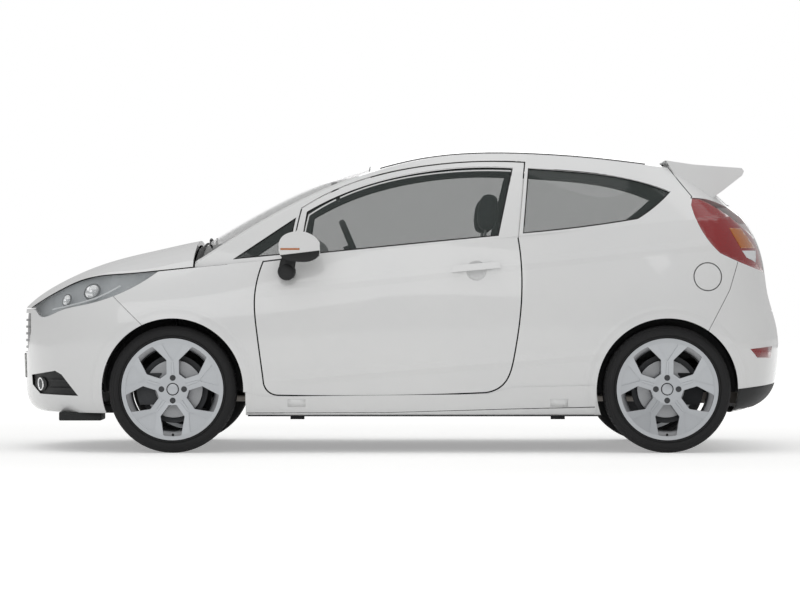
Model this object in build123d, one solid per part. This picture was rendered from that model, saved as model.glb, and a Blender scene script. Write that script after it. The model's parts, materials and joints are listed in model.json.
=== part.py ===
from build123d import *
import os
from functools import cache
from math import cos, hypot, radians, sin

# A three-door hot hatchback. +X is forward, +Y left, +Z up, millimetres.
# The origin is on the ground under the middle of the car.

# Overall sizes
WHEELBASE = 2489.0
FRONT_OVERHANG = 821.0
REAR_OVERHANG = 620.0
BODY_WIDTH = 1728.0
BODY_HEIGHT = 1549.0
TRACK = 1465.0

# Wheels and brakes
TYRE_RADIUS = 320.0
TYRE_WIDTH = 225.0
TYRE_SHOULDER = 26.0
RIM_RADIUS = 256.0
RIM_WIDTH = 204.0
RIM_WALL = 12.0
SPOKE_COUNT = 5
SPOKE_FACE = 34.0
SPOKE_DISH = 22.0
HUB_RADIUS = 74.0
HUB_BORE_RADIUS = 30.0
RUNNING_GAP = 0.3
DISC_RADIUS = 145.0
DISC_THICKNESS = 24.0
ARCH_GAP = 37.0

# Walls and gaps
DOOR_WALL = 60.0
PILLAR_WALL = 50.0
DOOR_FRAME_WALL = 24.0
WING_SKIN = 5.0
BUMPER_SKIN = 12.0
ROOF_THICKNESS = 25.0
BONNET_THICKNESS = 22.0
TAILGATE_WALL = 45.0
LAMP_DEPTH = 45.0
SKIRT_DEPTH = 12.0
SCUTTLE_DEPTH = 32.0
GLASS_THICKNESS = 5.0
GLASS_SETBACK = 7.0
DOOR_GAP = 7.0
LID_GAP = 6.0
SHUT_LINE = 3.0
FLOOR_THICKNESS = 25.0
FLOOR_HEIGHT = 180.0
RAIL_HEIGHT = 440.0
SEAT_PAN_HEIGHT = 380.0
BOOT_FLOOR_HEIGHT = 420.0
TUBE_RADIUS = 28.0
STOP_RADIUS = 12.0
JACK_STATIONS = (520.0, -800.0)
JACK_HEIGHT = 165.0
STRUT_ROD_RADIUS = 11.0
TAIL_PIPE_RADIUS = 42.0
TAIL_PIPE_Y = 250.0
TAIL_PIPE_Z = 300.0

# Pivots
DOOR_HINGE_X = 640.0
DOOR_HINGE_INSET = 26.0
DOOR_HINGE_HEIGHTS = (440.0, 790.0)
HINGE_PIN_RADIUS = 6.0
KINGPIN_LOW = (676.0, 200.0)
KINGPIN_HIGH = (548.0, 720.0)
STEER_STEPS = (-33, -30, -27, -24, -21, -18, 18, 21, 24, 27, 30, 33)
TYRE_CLEARANCE = 8.0
ARM_TIP_REACH = 10.0
ARM_TIP_HALF = 13.0
STEERING_WHEEL_RADIUS = 180.0
STEERING_WHEEL_CENTRE = (228.0, 370.0, 1002.0)
STEERING_RAKE = 23.0
SEAT_OFFSET = 370.0
FUEL_FLAP_RADIUS = 67.0

# The side elevation is drawn on a sheet with these stations; lx, wy and hz
# stretch the sheet to the overall sizes above.
SHEET_FRONT_AXLE = 1144.0
SHEET_REAR_AXLE = -1345.0
SHEET_NOSE = 1965.0
SHEET_TAIL = -1965.0
SHEET_WIDTH = 1728.0
SHEET_HEIGHT = 1549.0
SEAT_PAN_SHEET = 380.3

FRONT_AXLE_X = (FRONT_OVERHANG + WHEELBASE + REAR_OVERHANG) / 2 - FRONT_OVERHANG
REAR_AXLE_X = FRONT_AXLE_X - WHEELBASE
ARCH_RADIUS = TYRE_RADIUS + ARCH_GAP
WHEEL_Y = TRACK / 2
FAR = 2600.0

# Body rows from the sill up: nose x, nose z, tail x, tail z and the half
# widths at the front axle, the middle and the rear axle.
BODY_ROWS = [
    (1690, 100, -1590, 100, 752, 770, 752),
    (1800, 189, -1700, 195, 788, 800, 788),
    (1950, 262, -1925, 300, 838, 830, 838),
    (1962, 370, -1955, 400, 854, 842, 856),
    (1965, 475, -1965, 510, 860, 849, 862),
    (1965, 570, -1950, 650, 861, 851, 864),
    (1964, 655, -1908, 800, 856, 850, 862),
    (1956, 735, -1886, 950, 835, 842, 846),
    (1938, 805, -1840, 1095, 796, 829, 812),
    (1905, 890, -1735, 1240, 728, 799, 756),
    (1860, 985, -1605, 1390, 640, 745, 690),
    (1800, 1090, -1455, 1545, 540, 660, 610),
]
NOSE_START, NOSE_POWER = 1300.0, 2.2
TAIL_START, TAIL_POWER = -1420.0, 3.2
NOSE_ANGLES = (14, 30, 48, 68)
TAIL_ANGLES = (70, 50, 32, 16)

# Cabin rows: z at x = 0, slope, tail x and half widths at the stations and ahead of the tail's bow.
CABIN_STATIONS = (1250.0, 700.0, 0.0, -700.0)
CABIN_ROWS = [
    (1032, -0.096, -1766, 700, 762, 800, 794, 764),
    (1200, -0.05, -1683, 640, 695, 737, 732, 702),
    (1370, -0.02, -1570, 560, 605, 657, 652, 624),
    (1570, 0.0, -1400, 450, 500, 547, 545, 516),
]
CABIN_TAIL_RUN = 343.0
BELT_Z, BELT_SLOPE = 1033.0, -0.096

# Crown lines: x, z on the centre line and the drop at CROWN_HALF to the side.
CROWN_HALF = 650.0
DECK_LINE = [
    (2010, 650, 122), (1962, 722, 118), (1879, 798, 104), (1736, 881, 74), (1560, 955, 56),
    (1383, 1006, 70), (1190, 1050, 84), (1010, 1086, 92), (880, 1108, 92),
]
ROOF_LINE = [
    (1200, 950, 88), (1010, 1070, 84), (727, 1236, 78), (420, 1382, 72), (160, 1468, 60), (-150, 1530, 47),
    (-495, 1549, 42), (-870, 1532, 42), (-1250, 1494, 45), (-1600, 1444, 49), (-1850, 1400, 53),
]

# Outlines seen from the side, as runs of (x, z): two points are a line, more a curve.
DOOR_OUTLINE = [
    [(687, 960), (715, 870), (727, 789), (717, 618), (697, 466), (682, 350)],
    [(682, 350), (660, 312), (616, 294)],
    [(616, 294), (101, 291), (-429, 307)],
    [(-429, 307), (-530, 365), (-571, 491), (-598, 668), (-609, 845), (-591, 1082)],
    [(-591, 1082), (-631, 1467)],
    [(-631, 1467), (-404, 1471), (-202, 1457), (202, 1373), (495, 1231)],
    [(495, 1231), (523, 1107), (537, 978)],
    [(537, 978), (687, 960)],
]
DOOR_WINDOW = [
    [(472, 1216), (492, 1092), (503, 994)],
    [(503, 994), (0, 1044), (-497, 1092)],
    [(-497, 1092), (-573, 1439)],
    [(-573, 1439), (-404, 1443), (-202, 1429), (202, 1341), (472, 1216)],
]
FRONT_QUARTER = [
    [(845, 974), (525, 1188)], [(525, 1188), (543, 1102), (556, 1001)], [(556, 1001), (845, 974)],
]
REAR_QUARTER = [
    [(-651, 1439), (-619, 1104)],
    [(-619, 1104), (-1060, 1155), (-1202, 1178)],
    [(-1202, 1178), (-1290, 1240), (-1370, 1315)],
    [(-1370, 1315), (-1212, 1371), (-1010, 1409), (-651, 1439)],
]
BONNET_EDGE = [(870, 948), (1045, 931), (1220, 913), (1383, 898), (1524, 886), (1623, 862), (1737, 812),
               (1850, 752), (1905, 722)]
HEADLAMP_LOWER = [(1900, 722), (1866, 712), (1846, 690), (1737, 709), (1595, 744), (1453, 784), (1300, 858),
                  (1220, 913)]
TAIL_LAMP = [
    [(-1472, 1250), (-1483, 1294)],
    [(-1483, 1294), (-1568, 1259), (-1688, 1181), (-1795, 1100), (-1960, 960)],
    [(-1960, 960), (-1960, 890)],
    [(-1960, 890), (-1858, 912), (-1610, 1004)],
    [(-1610, 1004), (-1530, 1100), (-1472, 1250)],
]
TAIL_LAMP_INNER_Y = 500.0
TAILGATE_SHUT = [(-1348, 1600), (-1348, 1480), (-1405, 1397), (-1483, 1294)]
TAILGATE_SIDE_Y = 494.0
TAILGATE_FOOT_Z = 716.0
BONNET_REAR_X = 1045.0
GRILLE_FLANGE = 12.0
GRILLE_SLATS = (525, 560, 595, 630, 665)
GRILLE_OUTLINE = [(-395, 702), (-420, 610), (-340, 500), (340, 500), (420, 610), (395, 702)]
FOG_RECESS = [(1895, 385), (1751, 410), (1715, 392), (1625, 285), (1840, 290), (1890, 335)]
SPOILER_SIDE = [(-1356, 1481), (-1497, 1459), (-1742, 1442), (-1754, 1426), (-1745, 1404), (-1646, 1327),
                (-1557, 1262), (-1490, 1300), (-1408, 1397)]
SKIRT_OUTLINE = [(776, 189), (776, 306), (690, 284), (-440, 296), (-560, 330), (-985, 340), (-985, 189)]


def lx(x):
    """Sheet station to length along the car: each overhang and the wheelbase stretch by themselves."""
    if x > SHEET_FRONT_AXLE:
        return FRONT_AXLE_X + (x - SHEET_FRONT_AXLE) * FRONT_OVERHANG / (SHEET_NOSE - SHEET_FRONT_AXLE)
    if x < SHEET_REAR_AXLE:
        return REAR_AXLE_X + (x - SHEET_REAR_AXLE) * REAR_OVERHANG / (SHEET_REAR_AXLE - SHEET_TAIL)
    return REAR_AXLE_X + (x - SHEET_REAR_AXLE) * WHEELBASE / (SHEET_FRONT_AXLE - SHEET_REAR_AXLE)


def wy(y):
    return y * BODY_WIDTH / SHEET_WIDTH


def hz(z):
    return z * BODY_HEIGHT / SHEET_HEIGHT


def on_body(x, y, z):
    return Vector(lx(x), wy(y), hz(z))


def mirrored(shape):
    return mirror(shape, about=Plane.XZ)


def pair(shape):
    return Compound(children=[shape, mirrored(shape)])


def block(x0, x1, y0, y1, z0, z1):
    return Pos((x0 + x1) / 2, (y0 + y1) / 2, (z0 + z1) / 2) * Box(abs(x1 - x0), abs(y1 - y0), abs(z1 - z0))


def rod(start, end, radius):
    start, end = Vector(*start), Vector(*end)
    axis = end - start
    return Plane(origin=start, z_dir=axis) * Cylinder(
        radius, axis.length, align=(Align.CENTER, Align.CENTER, Align.MIN))


# Master surfaces
def bow(start, end, half_width, power, angles):
    """Points on the quarter superellipse that rounds the nose or the tail in plan."""
    points = []
    for angle in angles:
        c, s = cos(radians(angle)), sin(radians(angle))
        points.append((start + (end - start) * c ** (2 / power), half_width * s ** (2 / power)))
    return points


def spacing(points):
    """Shares of the way along a run of points, used on every row so that the rows match."""
    total = [0.0]
    for (x0, y0), (x1, y1) in zip(points, points[1:]):
        total.append(total[-1] + hypot(x1 - x0, y1 - y0))
    return [length / total[-1] for length in total]


def closed_wire(points, height, shares):
    left = [on_body(x, y, height(x)) for x, y in points]
    right = [Vector(p.X, -p.Y, p.Z) for p in left]
    edges = [Edge.make_spline(line, parameters=shares) for line in (left, right)]
    if abs(left[0].Y) >= 1:
        edges.append(Edge.make_line(left[0], right[0]))
    return Wire(edges)


def body_plan(row, inset):
    nose, _, tail, _, front, middle, rear = row
    points = [(nose - inset, 0)]
    points += bow(NOSE_START, nose - inset, front - inset, NOSE_POWER, NOSE_ANGLES)
    points += [(SHEET_FRONT_AXLE, front - inset), (600, (front + middle) / 2 - inset), (0, middle - inset)]
    points += [(-650, (middle + rear) / 2 - inset), (SHEET_REAR_AXLE + 60, rear - inset)]
    points += bow(TAIL_START, tail + inset, rear - inset, TAIL_POWER, TAIL_ANGLES)
    points += [(tail + inset, 0)]
    return points


def body_wire(row, inset):
    nose, nose_z, tail, tail_z = row[:4]

    def height(x):
        return nose_z + (tail_z - nose_z) * (nose - x) / (nose - tail)

    return closed_wire(body_plan(row, inset), height, spacing(body_plan(BODY_ROWS[5], 0)))


@cache
def lower_body(inset=0.0):
    """Body below the belt, carried on upward past it."""
    return Solid.make_loft([body_wire(row, inset) for row in BODY_ROWS])


def cabin_plan(row, inset):
    tail, widths = row[2], row[3:]
    start = tail + CABIN_TAIL_RUN
    points = [(x, width - inset) for x, width in zip((*CABIN_STATIONS, start + 60), widths)]
    points += bow(start, tail + inset, widths[-1] - inset, TAIL_POWER, TAIL_ANGLES)
    return points + [(tail + inset, 0)]


def cabin_wire(row, inset):
    z0, slope = row[:2]
    shares = spacing(cabin_plan(CABIN_ROWS[1], 0))
    return closed_wire(cabin_plan(row, inset), lambda x: z0 + slope * x, shares)


@cache
def cabin_sides(inset=0.0):
    return Solid.make_loft([cabin_wire(row, inset) for row in CABIN_ROWS])


def crown(line, inset):
    """Solid under a crowned surface that runs along the car."""
    wires = []
    half = 900.0
    for x, z, drop in line:
        edge = z - inset - drop * (half / CROWN_HALF) ** 2
        left, right = on_body(x, half, edge), on_body(x, -half, edge)
        low_left, low_right = on_body(x, half, 100), on_body(x, -half, 100)
        arc = Edge.make_three_point_arc(left, on_body(x, 0, z - inset), right)
        base = [Edge.make_line(right, low_right), Edge.make_line(low_right, low_left),
                Edge.make_line(low_left, left)]
        wires.append(Wire([arc, *base]))
    return Solid.make_loft(wires)


@cache
def under_deck(inset=0.0):
    return crown(DECK_LINE, inset)


@cache
def under_roof(inset=0.0):
    return crown(ROOF_LINE, inset)


@cache
def below_belt():
    """Everything below the sloping belt line."""
    ends = [(x, BELT_Z + BELT_SLOPE * x) for x in (-2300, 2300)]
    outline = [ends[0], ends[1], (2300, -50), (-2300, -50)]
    return both_sides(polygon(outline))


@cache
def cabin(inset=0.0):
    return cabin_sides(inset) & under_roof(inset)


@cache
def tail_body(inset=0.0):
    return (lower_body(inset) & below_belt()) + cabin(inset)


def wall(surface, region, inner, outer=0.0):
    """Part of a surface's wall that lies in a region, between two depths below the outside."""
    return (surface(outer) & region) - surface(inner)


def largest(shape):
    return shape.solids().sort_by(SortBy.VOLUME)[-1]


# Side and end outlines
def runs_face(runs):
    edges = []
    for run in runs:
        points = [Vector(lx(x), 0, hz(z)) for x, z in run]
        edges.append(Edge.make_line(*points) if len(points) == 2 else Edge.make_spline(points))
    return Face(Wire(edges))


def polygon(points):
    return Face(Wire.make_polygon([Vector(lx(x), 0, hz(z)) for x, z in points]))


def left_side(face, start=0.0, end=1200.0):
    return Pos(0, start, 0) * Solid.extrude(face, Vector(0, end - start, 0))


def both_sides(face):
    return left_side(face, -FAR, FAR)


def grown(runs, amount):
    """Outline moved outward: each point along its normal, corners to where the moved runs meet."""
    area = sum(x0 * z1 - x1 * z0 for run in runs for (x0, z0), (x1, z1) in zip(run, run[1:]))
    turn = amount if area > 0 else -amount

    def normal(a, b):
        length = hypot(b[0] - a[0], b[1] - a[1])
        return ((b[1] - a[1]) / length, (a[0] - b[0]) / length)

    def moved(point, n0, n1):
        scale = turn / (1 + n0[0] * n1[0] + n0[1] * n1[1])
        return (point[0] + scale * (n0[0] + n1[0]), point[1] + scale * (n0[1] + n1[1]))

    result = []
    for index, run in enumerate(runs):
        following = runs[(index + 1) % len(runs)]
        previous = runs[index - 1]
        chain = [previous[-2]] + run + [following[1]]
        steps = [normal(a, b) for a, b in zip(chain, chain[1:])]
        result.append([moved(point, n0, n1) for point, n0, n1 in zip(run, steps, steps[1:])])
    return result


def end_prism(points, x0, x1):
    """Prism along the car from an outline of (y, z) points."""
    face = Face(Wire.make_polygon([Vector(x0, wy(y), hz(z)) for y, z in points]))
    return Solid.extrude(face, Vector(x1 - x0, 0, 0))


def arch(axle_x, grow=0.0):
    return rod((axle_x, -FAR, TYRE_RADIUS), (axle_x, FAR, TYRE_RADIUS), ARCH_RADIUS + grow)


def both_arches():
    return arch(FRONT_AXLE_X) + arch(REAR_AXLE_X)


def above_bonnet_edge(lift=0.0):
    edge = [(x, z + lift) for x, z in BONNET_EDGE]
    top = [(edge[-1][0], edge[-1][1]), (2200, edge[-1][1]), (2200, 1500), (870, 1500), edge[0]]
    runs = [edge] + [[a, b] for a, b in zip(top, top[1:])]
    return both_sides(runs_face(runs))


def headlamp_region():
    """Lamp outline below the bonnet's edge."""
    (front, low), (back, high) = HEADLAMP_LOWER[0], HEADLAMP_LOWER[-1]
    over = [(back, high), (back, high + 90), (front, high + 90), (front, low)]
    return left_side(runs_face([HEADLAMP_LOWER] + [[a, b] for a, b in zip(over, over[1:])]))


# Fixed panels
def door_aperture():
    return left_side(runs_face(grown(DOOR_OUTLINE, DOOR_GAP)))


def make_front_wings():
    front = [(1200, 520), (1301, 649), (1439, 784), (1439, 940)]
    outline = [(650, 1010), (650, 306), (1000, 306)] + front + [(1300, 1010)]
    region = left_side(polygon(outline)) & below_belt()
    region = region - above_bonnet_edge() - headlamp_region() - arch(FRONT_AXLE_X) - door_aperture()
    return pair(largest(wall(lower_body, region, WING_SKIN)))


def make_bonnet():
    region = above_bonnet_edge(LID_GAP) & block(lx(BONNET_REAR_X), lx(2200), -FAR, FAR, 0, 2000)
    outer = lower_body(0) & region & under_deck(0)
    return largest(outer - (lower_body(BONNET_THICKNESS) & under_deck(BONNET_THICKNESS)))


def make_headlamps():
    return pair(wall(lower_body, headlamp_region() - above_bonnet_edge(), LAMP_DEPTH))


def grille_opening():
    return end_prism(GRILLE_OUTLINE, lx(1700), lx(2100))


def fog_opening(grow=0.0):
    corners = FOG_RECESS + FOG_RECESS[:1]
    return left_side(runs_face(grown([[a, b] for a, b in zip(corners, corners[1:])], grow)))


def make_front_bumper():
    line = [(1439 + SHUT_LINE, 784), (1301 + SHUT_LINE, 649), (1200 + SHUT_LINE, 520), (1200, 199),
            (2100, 199), (2100, 940), (1439 + SHUT_LINE, 940)]
    lamp, fog = headlamp_region(), fog_opening()
    region = both_sides(polygon(line)) - above_bonnet_edge() - lamp - mirrored(lamp) - arch(FRONT_AXLE_X)
    region = region - grille_opening() - fog - mirrored(fog)
    return largest(wall(lower_body, region, BUMPER_SKIN))


def make_grille():
    """Curved plate behind the bumper's skin, with slats that stand forward in the opening."""
    corners = GRILLE_OUTLINE + GRILLE_OUTLINE[:1]
    flange = [run[0] for run in grown([[a, b] for a, b in zip(corners, corners[1:])], GRILLE_FLANGE)]
    front = BUMPER_SKIN + RUNNING_GAP
    plate = wall(lower_body, end_prism(flange, lx(1700), lx(2100)), front + 8, front)
    opening = [run[0] for run in grown([[a, b] for a, b in zip(corners, corners[1:])], -2)]
    for level in GRILLE_SLATS:
        band = block(lx(1700), lx(2100), -FAR, FAR, hz(level) - 5, hz(level) + 5)
        plate = plate + wall(lower_body, end_prism(opening, lx(1700), lx(2100)) & band, front + 2, 3)
    return largest(plate)


def make_fog_lamps():
    back = BUMPER_SKIN + RUNNING_GAP
    tray = wall(lower_body, fog_opening(10), back + 12, back)
    for level in (318, 360):
        level_band = fog_opening(-2) & block(0, lx(1790), 0, FAR, hz(level) - 6, hz(level) + 6)
        tray = tray + wall(lower_body, level_band, back + 2, 2)
    lamp = rod((lx(1838), wy(300), hz(340)), (lx(1838), wy(900), hz(340)), 36)
    return pair(largest(tray + wall(lower_body, lamp, back + 2, 5)))


def tailgate_region(gap=0.0):
    """Rear-view outline of the tailgate, carried along the car, behind its shut line."""
    side, foot = TAILGATE_SIDE_Y + gap, TAILGATE_FOOT_Z - gap
    left = [(760, 1640), (760, 1300), (640, 1282 - gap), (side + 60, 1240 - gap), (side, 1160),
            (side - 14, foot)]
    outline = left + [(-y, z) for y, z in reversed(left)]
    shut = [(x + gap, z) for x, z in TAILGATE_SHUT]
    behind = shut + [(-1420 + gap, 1180), (-1420 + gap, 600), (-2200, 600), (-2200, 1600)]
    return end_prism(outline, lx(-2300), lx(-1200)) & both_sides(polygon(behind))


def tail_wall(region, depth):
    """Wall of the tail that runs across the belt line, in two lengths joined there."""
    ends = block(lx(-2300), lx(-1300), -FAR, FAR, hz(600), hz(1700))
    lower = wall(lower_body, ends & below_belt(), depth) & region
    upper = ((cabin(0) & (ends - below_belt())) - cabin(depth)) & region
    return lower + upper


def tail_lamp_region():
    return left_side(runs_face(TAIL_LAMP), wy(TAIL_LAMP_INNER_Y))


def make_tail_lamps():
    return pair(largest(tail_wall(tail_lamp_region() - tailgate_region(LID_GAP), LAMP_DEPTH)))


def make_rear_bumper():
    line = [(-1702 - SHUT_LINE, 962), (-1656 - SHUT_LINE, 820), (-1550 - SHUT_LINE, 621), (-1500, 520),
            (-1500, 195), (-2200, 195), (-2200, 962)]
    lamp = left_side(runs_face(TAIL_LAMP), wy(TAIL_LAMP_INNER_Y - 20))
    region = both_sides(polygon(line)) - lamp - mirrored(lamp) - arch(REAR_AXLE_X) - tailgate_region(LID_GAP)
    return largest(wall(lower_body, region - tail_pipe(TAIL_PIPE_RADIUS + 8), BUMPER_SKIN))


def fuel_pocket(radius):
    x, z = lx(-1545), hz(886)
    return rod((x, 600, z), (x, FAR, z), radius)


def make_side_panel():
    low = [(772, 189), (772, 306), (600, 306), (600, 1300), (-1700, 1300), (-1702, 962), (-1656, 820),
           (-1550, 621), (-1500, 520), (-1500, 189)]
    cuts = door_aperture() + left_side(runs_face(TAIL_LAMP)) + tailgate_region(LID_GAP)
    low_region = (left_side(polygon(low)) & below_belt()) - cuts - both_arches()
    high = [(1037, 900), (1037, 1600), (-1720, 1600), (-1720, 1100)]
    high_region = left_side(polygon(high)) - below_belt() - cuts
    high_region = high_region - left_side(runs_face(FRONT_QUARTER)) - left_side(runs_face(REAR_QUARTER))
    lower = wall(lower_body, low_region, DOOR_WALL)
    upper = (cabin(0) & high_region) - cabin_sides(PILLAR_WALL)
    return largest(lower + upper)


def make_side_panels():
    left = make_side_panel()
    right = mirrored(left)
    left = left - wall(lower_body, fuel_pocket(FUEL_FLAP_RADIUS + LID_GAP), 30, -5)
    buffer = wall(lower_body, fuel_pocket(12), 31, 6 + RUNNING_GAP)
    return Compound(children=[largest(left + buffer), right])


def make_fuel_flap():
    return wall(lower_body, fuel_pocket(FUEL_FLAP_RADIUS), 6)


def make_roof_panel():
    region = cabin_sides(PILLAR_WALL) & block(lx(-1348) + LID_GAP, lx(152), -FAR, FAR, 0, 2000)
    return wall(under_roof, region, ROOF_THICKNESS)


def make_windscreen():
    region = cabin_sides(PILLAR_WALL) & block(lx(152), lx(1008), -FAR, FAR, 0, 2000)
    return wall(under_roof, region, GLASS_SETBACK + GLASS_THICKNESS, GLASS_SETBACK)


def make_scuttle_panel():
    region = block(lx(940), lx(BONNET_REAR_X) - LID_GAP, -wy(660), wy(660), 0, 2000)
    return wall(under_deck, region, SCUTTLE_DEPTH + 12, SCUTTLE_DEPTH)


def make_quarter_windows():
    deep = GLASS_SETBACK + GLASS_THICKNESS
    front, rear = [wall(cabin_sides, left_side(runs_face(outline)), deep, GLASS_SETBACK)
                   for outline in (FRONT_QUARTER, REAR_QUARTER)]
    return Compound(children=[front, rear, mirrored(front), mirrored(rear)])


def make_side_skirts():
    region = left_side(polygon(SKIRT_OUTLINE)) - both_arches()
    return pair(largest(wall(lower_body, region, 0.0, -SKIRT_DEPTH)))


# Opening panels
def door_hinge_y():
    return wy(848) - DOOR_HINGE_INSET


def make_door():
    shape = left_side(runs_face(DOOR_OUTLINE))
    door = wall(lower_body, shape & below_belt(), DOOR_WALL)
    frame = shape - below_belt() - left_side(runs_face(DOOR_WINDOW))
    door = door + ((cabin(0) & frame) - cabin_sides(DOOR_FRAME_WALL))
    x, y = lx(DOOR_HINGE_X), door_hinge_y()
    for z in DOOR_HINGE_HEIGHTS:
        notch = block(x - 22, x + 120, y - 90, y + 12, hz(z) - 34, hz(z) + 34)
        door = door - (notch & lower_body(WING_SKIN))
        for side in (-1, 1):
            low, high = sorted((hz(z) + side * 9, hz(z) + side * 24))
            eye = rod((x, y, low), (x, y, high), HINGE_PIN_RADIUS + 5)
            eye = eye + block(x - 30, x, y - 8, y + 8, low, high)
            door = door + (eye - rod((x, y, low), (x, y, high), HINGE_PIN_RADIUS + RUNNING_GAP))
    return largest(door - handle_bowl() + make_handle())


def handle_bowl():
    return Pos(lx(-384), wy(846) + 30, hz(922)) * Sphere(64)


def make_handle():
    """Pull bar that stands off the door skin on two feet."""
    grip = [(-262, 908), (-262, 942), (-500, 962), (-506, 930)]
    bar = wall(lower_body, left_side(polygon(grip)), -10, -24)
    front_foot = [(-262, 908), (-262, 942), (-296, 945), (-296, 911)]
    rear_foot = [(-464, 926), (-464, 958), (-500, 962), (-506, 930)]
    for foot in (front_foot, rear_foot):
        bar = bar + wall(lower_body, left_side(polygon(foot)), 4, -12)
    return bar


def make_door_glass():
    region = left_side(runs_face(DOOR_WINDOW))
    return wall(cabin_sides, region, GLASS_SETBACK + GLASS_THICKNESS, GLASS_SETBACK)


def make_mirror():
    head = runs_face([[(604, 1030), (586, 1085), (525, 1110), (444, 1097), (401, 1055)],
                      [(401, 1055), (401, 1000)],
                      [(401, 1000), (430, 972), (520, 962), (590, 985), (604, 1030)]])
    body = left_side(head, wy(862), wy(985))
    stalk = polygon([(600, 960), (610, 905), (566, 878), (530, 905), (515, 1000), (580, 1010)])
    body = body + left_side(stalk, wy(780), wy(905))
    return largest(body - lower_body(0) - cabin_sides(0))


def rear_window_opening():
    return end_prism([(-500, 1250), (-470, 1392), (470, 1392), (500, 1250)], lx(-2300), lx(-1440))


def make_tailgate():
    return largest(tail_wall(tailgate_region() - rear_window_opening(), TAILGATE_WALL))


def make_rear_window():
    region = rear_window_opening() & tailgate_region()
    return wall(cabin_sides, region, GLASS_SETBACK + GLASS_THICKNESS, GLASS_SETBACK)


def make_rear_spoiler():
    blade = polygon([(-1356, 1482), (-1497, 1461), (-1742, 1442), (-1754, 1426), (-1745, 1404),
                     (-1690, 1412), (-1560, 1405), (-1480, 1400)])
    fin = left_side(polygon(SPOILER_SIDE), wy(520), wy(585))
    return largest(left_side(blade, -wy(560), wy(560)) + fin + mirrored(fin) - tail_body(0))


# Floor and structure
def make_floor_pan():
    floor_top = FLOOR_HEIGHT + FLOOR_THICKNESS
    front_floor = block(lx(-1000), lx(760), -FAR, FAR, FLOOR_HEIGHT, floor_top) & lower_body(DOOR_WALL)
    boot_floor = block(lx(-1800), lx(-1000), -wy(580), wy(580), BOOT_FLOOR_HEIGHT - 20, BOOT_FLOOR_HEIGHT)
    kick = block(lx(-1000), lx(-975), -450, 450, FLOOR_HEIGHT, BOOT_FLOOR_HEIGHT)
    kick = kick + block(lx(-1000), lx(-690), -450, 450, SEAT_PAN_HEIGHT - 20, SEAT_PAN_HEIGHT)
    kick = kick + block(lx(-715), lx(-690), -450, 450, FLOOR_HEIGHT, SEAT_PAN_HEIGHT)
    bulkhead = block(lx(745), lx(770), -wy(700), wy(700), FLOOR_HEIGHT, hz(940))
    riser = block(lx(960), lx(1000), -wy(640), wy(640), hz(930), hz(1100))
    riser = riser & under_deck(SCUTTLE_DEPTH + 12 + RUNNING_GAP)
    cowl = block(lx(745), lx(1000), -wy(640), wy(640), hz(880), hz(935)) + riser
    pan = front_floor + boot_floor + kick + bulkhead + cowl
    tunnel = block(lx(-975), lx(745), -120, 120, FLOOR_HEIGHT, 330)
    pan = pan + tunnel - block(lx(-1010), lx(790), -90, 90, 0, 305)
    post = block(lx(745), lx(880), wy(640), wy(830), hz(700), hz(1000))
    post = post & lower_body(WING_SKIN) & below_belt()
    inner_post = block(lx(600), lx(770), wy(660), wy(715), FLOOR_HEIGHT, hz(935))
    rail = block(lx(745), lx(1850), 345, 410, RAIL_HEIGHT, RAIL_HEIGHT + 90)
    shelf = block(lx(745), lx(1205), wy(560), wy(800), hz(790), hz(830)) & lower_body(WING_SKIN)
    tower = block(FRONT_AXLE_X - 110, FRONT_AXLE_X + 110, 345, wy(640), 705, 735)
    leg = block(FRONT_AXLE_X - 110, FRONT_AXLE_X + 110, 345, 380, 480, 735)
    riser = block(FRONT_AXLE_X - 110, FRONT_AXLE_X + 110, wy(600), wy(640), 705, hz(830))
    side = post + inner_post + rail + shelf + tower + leg + riser
    side = side - kingpin_rod(0, 640, STRUT_ROD_RADIUS + RUNNING_GAP)
    for z in DOOR_HINGE_HEIGHTS:
        x, y = lx(DOOR_HINGE_X), door_hinge_y()
        arm = block(x - 8, x + 8, wy(700), y, hz(z) - 8, hz(z) + 8)
        side = side + arm + rod((x, y, hz(z) - 24), (x, y, hz(z) + 24), HINGE_PIN_RADIUS)
    pan = pan + side + mirrored(side)
    beam = block(lx(1830), lx(2000), -wy(415), wy(415), hz(405), hz(475)) & lower_body(BUMPER_SKIN)
    rear_beam = block(lx(-2000), lx(-1800), -wy(520), wy(520), hz(480), hz(570)) & lower_body(BUMPER_SKIN)
    rear_wall = block(lx(-1800), lx(-1780), -wy(560), wy(560), BOOT_FLOOR_HEIGHT - 20, hz(690))
    pan = pan + beam + rear_beam + rear_wall
    for y in (-1, 1):
        pan = pan + lid_stops(y)
        for x in JACK_STATIONS:
            pan = pan + block(lx(x) - 35, lx(x) + 35, y * 650, y * 700, JACK_HEIGHT, FLOOR_HEIGHT + 5)
    return largest(pan)


def lid_stops(side):
    """Rubber stops on one side that the closed bonnet and tailgate rest on."""
    under_bonnet = under_deck(BONNET_THICKNESS + RUNNING_GAP) & lower_body(BONNET_THICKNESS + RUNNING_GAP)
    rear = rod((lx(1150), side * wy(590), hz(820)), (lx(1150), side * wy(590), hz(1100)), STOP_RADIUS)
    front = rod((lx(1780), side * 378, RAIL_HEIGHT + 80), (lx(1780), side * 378, hz(1100)), STOP_RADIUS)
    post = block(lx(-1800), lx(-1780), side * wy(280), side * wy(320), hz(680), hz(770))
    stop = rod((lx(-1785), side * wy(300), hz(750)), (lx(-2000), side * wy(300), hz(750)), STOP_RADIUS)
    stop = stop & lower_body(TAILGATE_WALL + RUNNING_GAP)
    return (rear & under_bonnet) + (front & under_bonnet) + post + stop


def kingpin_rod(start, end, radius):
    """Rod along the left steering axis, between two distances from its lower ball joint."""
    low, high = Vector(FRONT_AXLE_X, *KINGPIN_LOW), Vector(FRONT_AXLE_X, *KINGPIN_HIGH)
    along = (high - low).normalized()
    return rod(low + along * start, low + along * end, radius)


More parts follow.
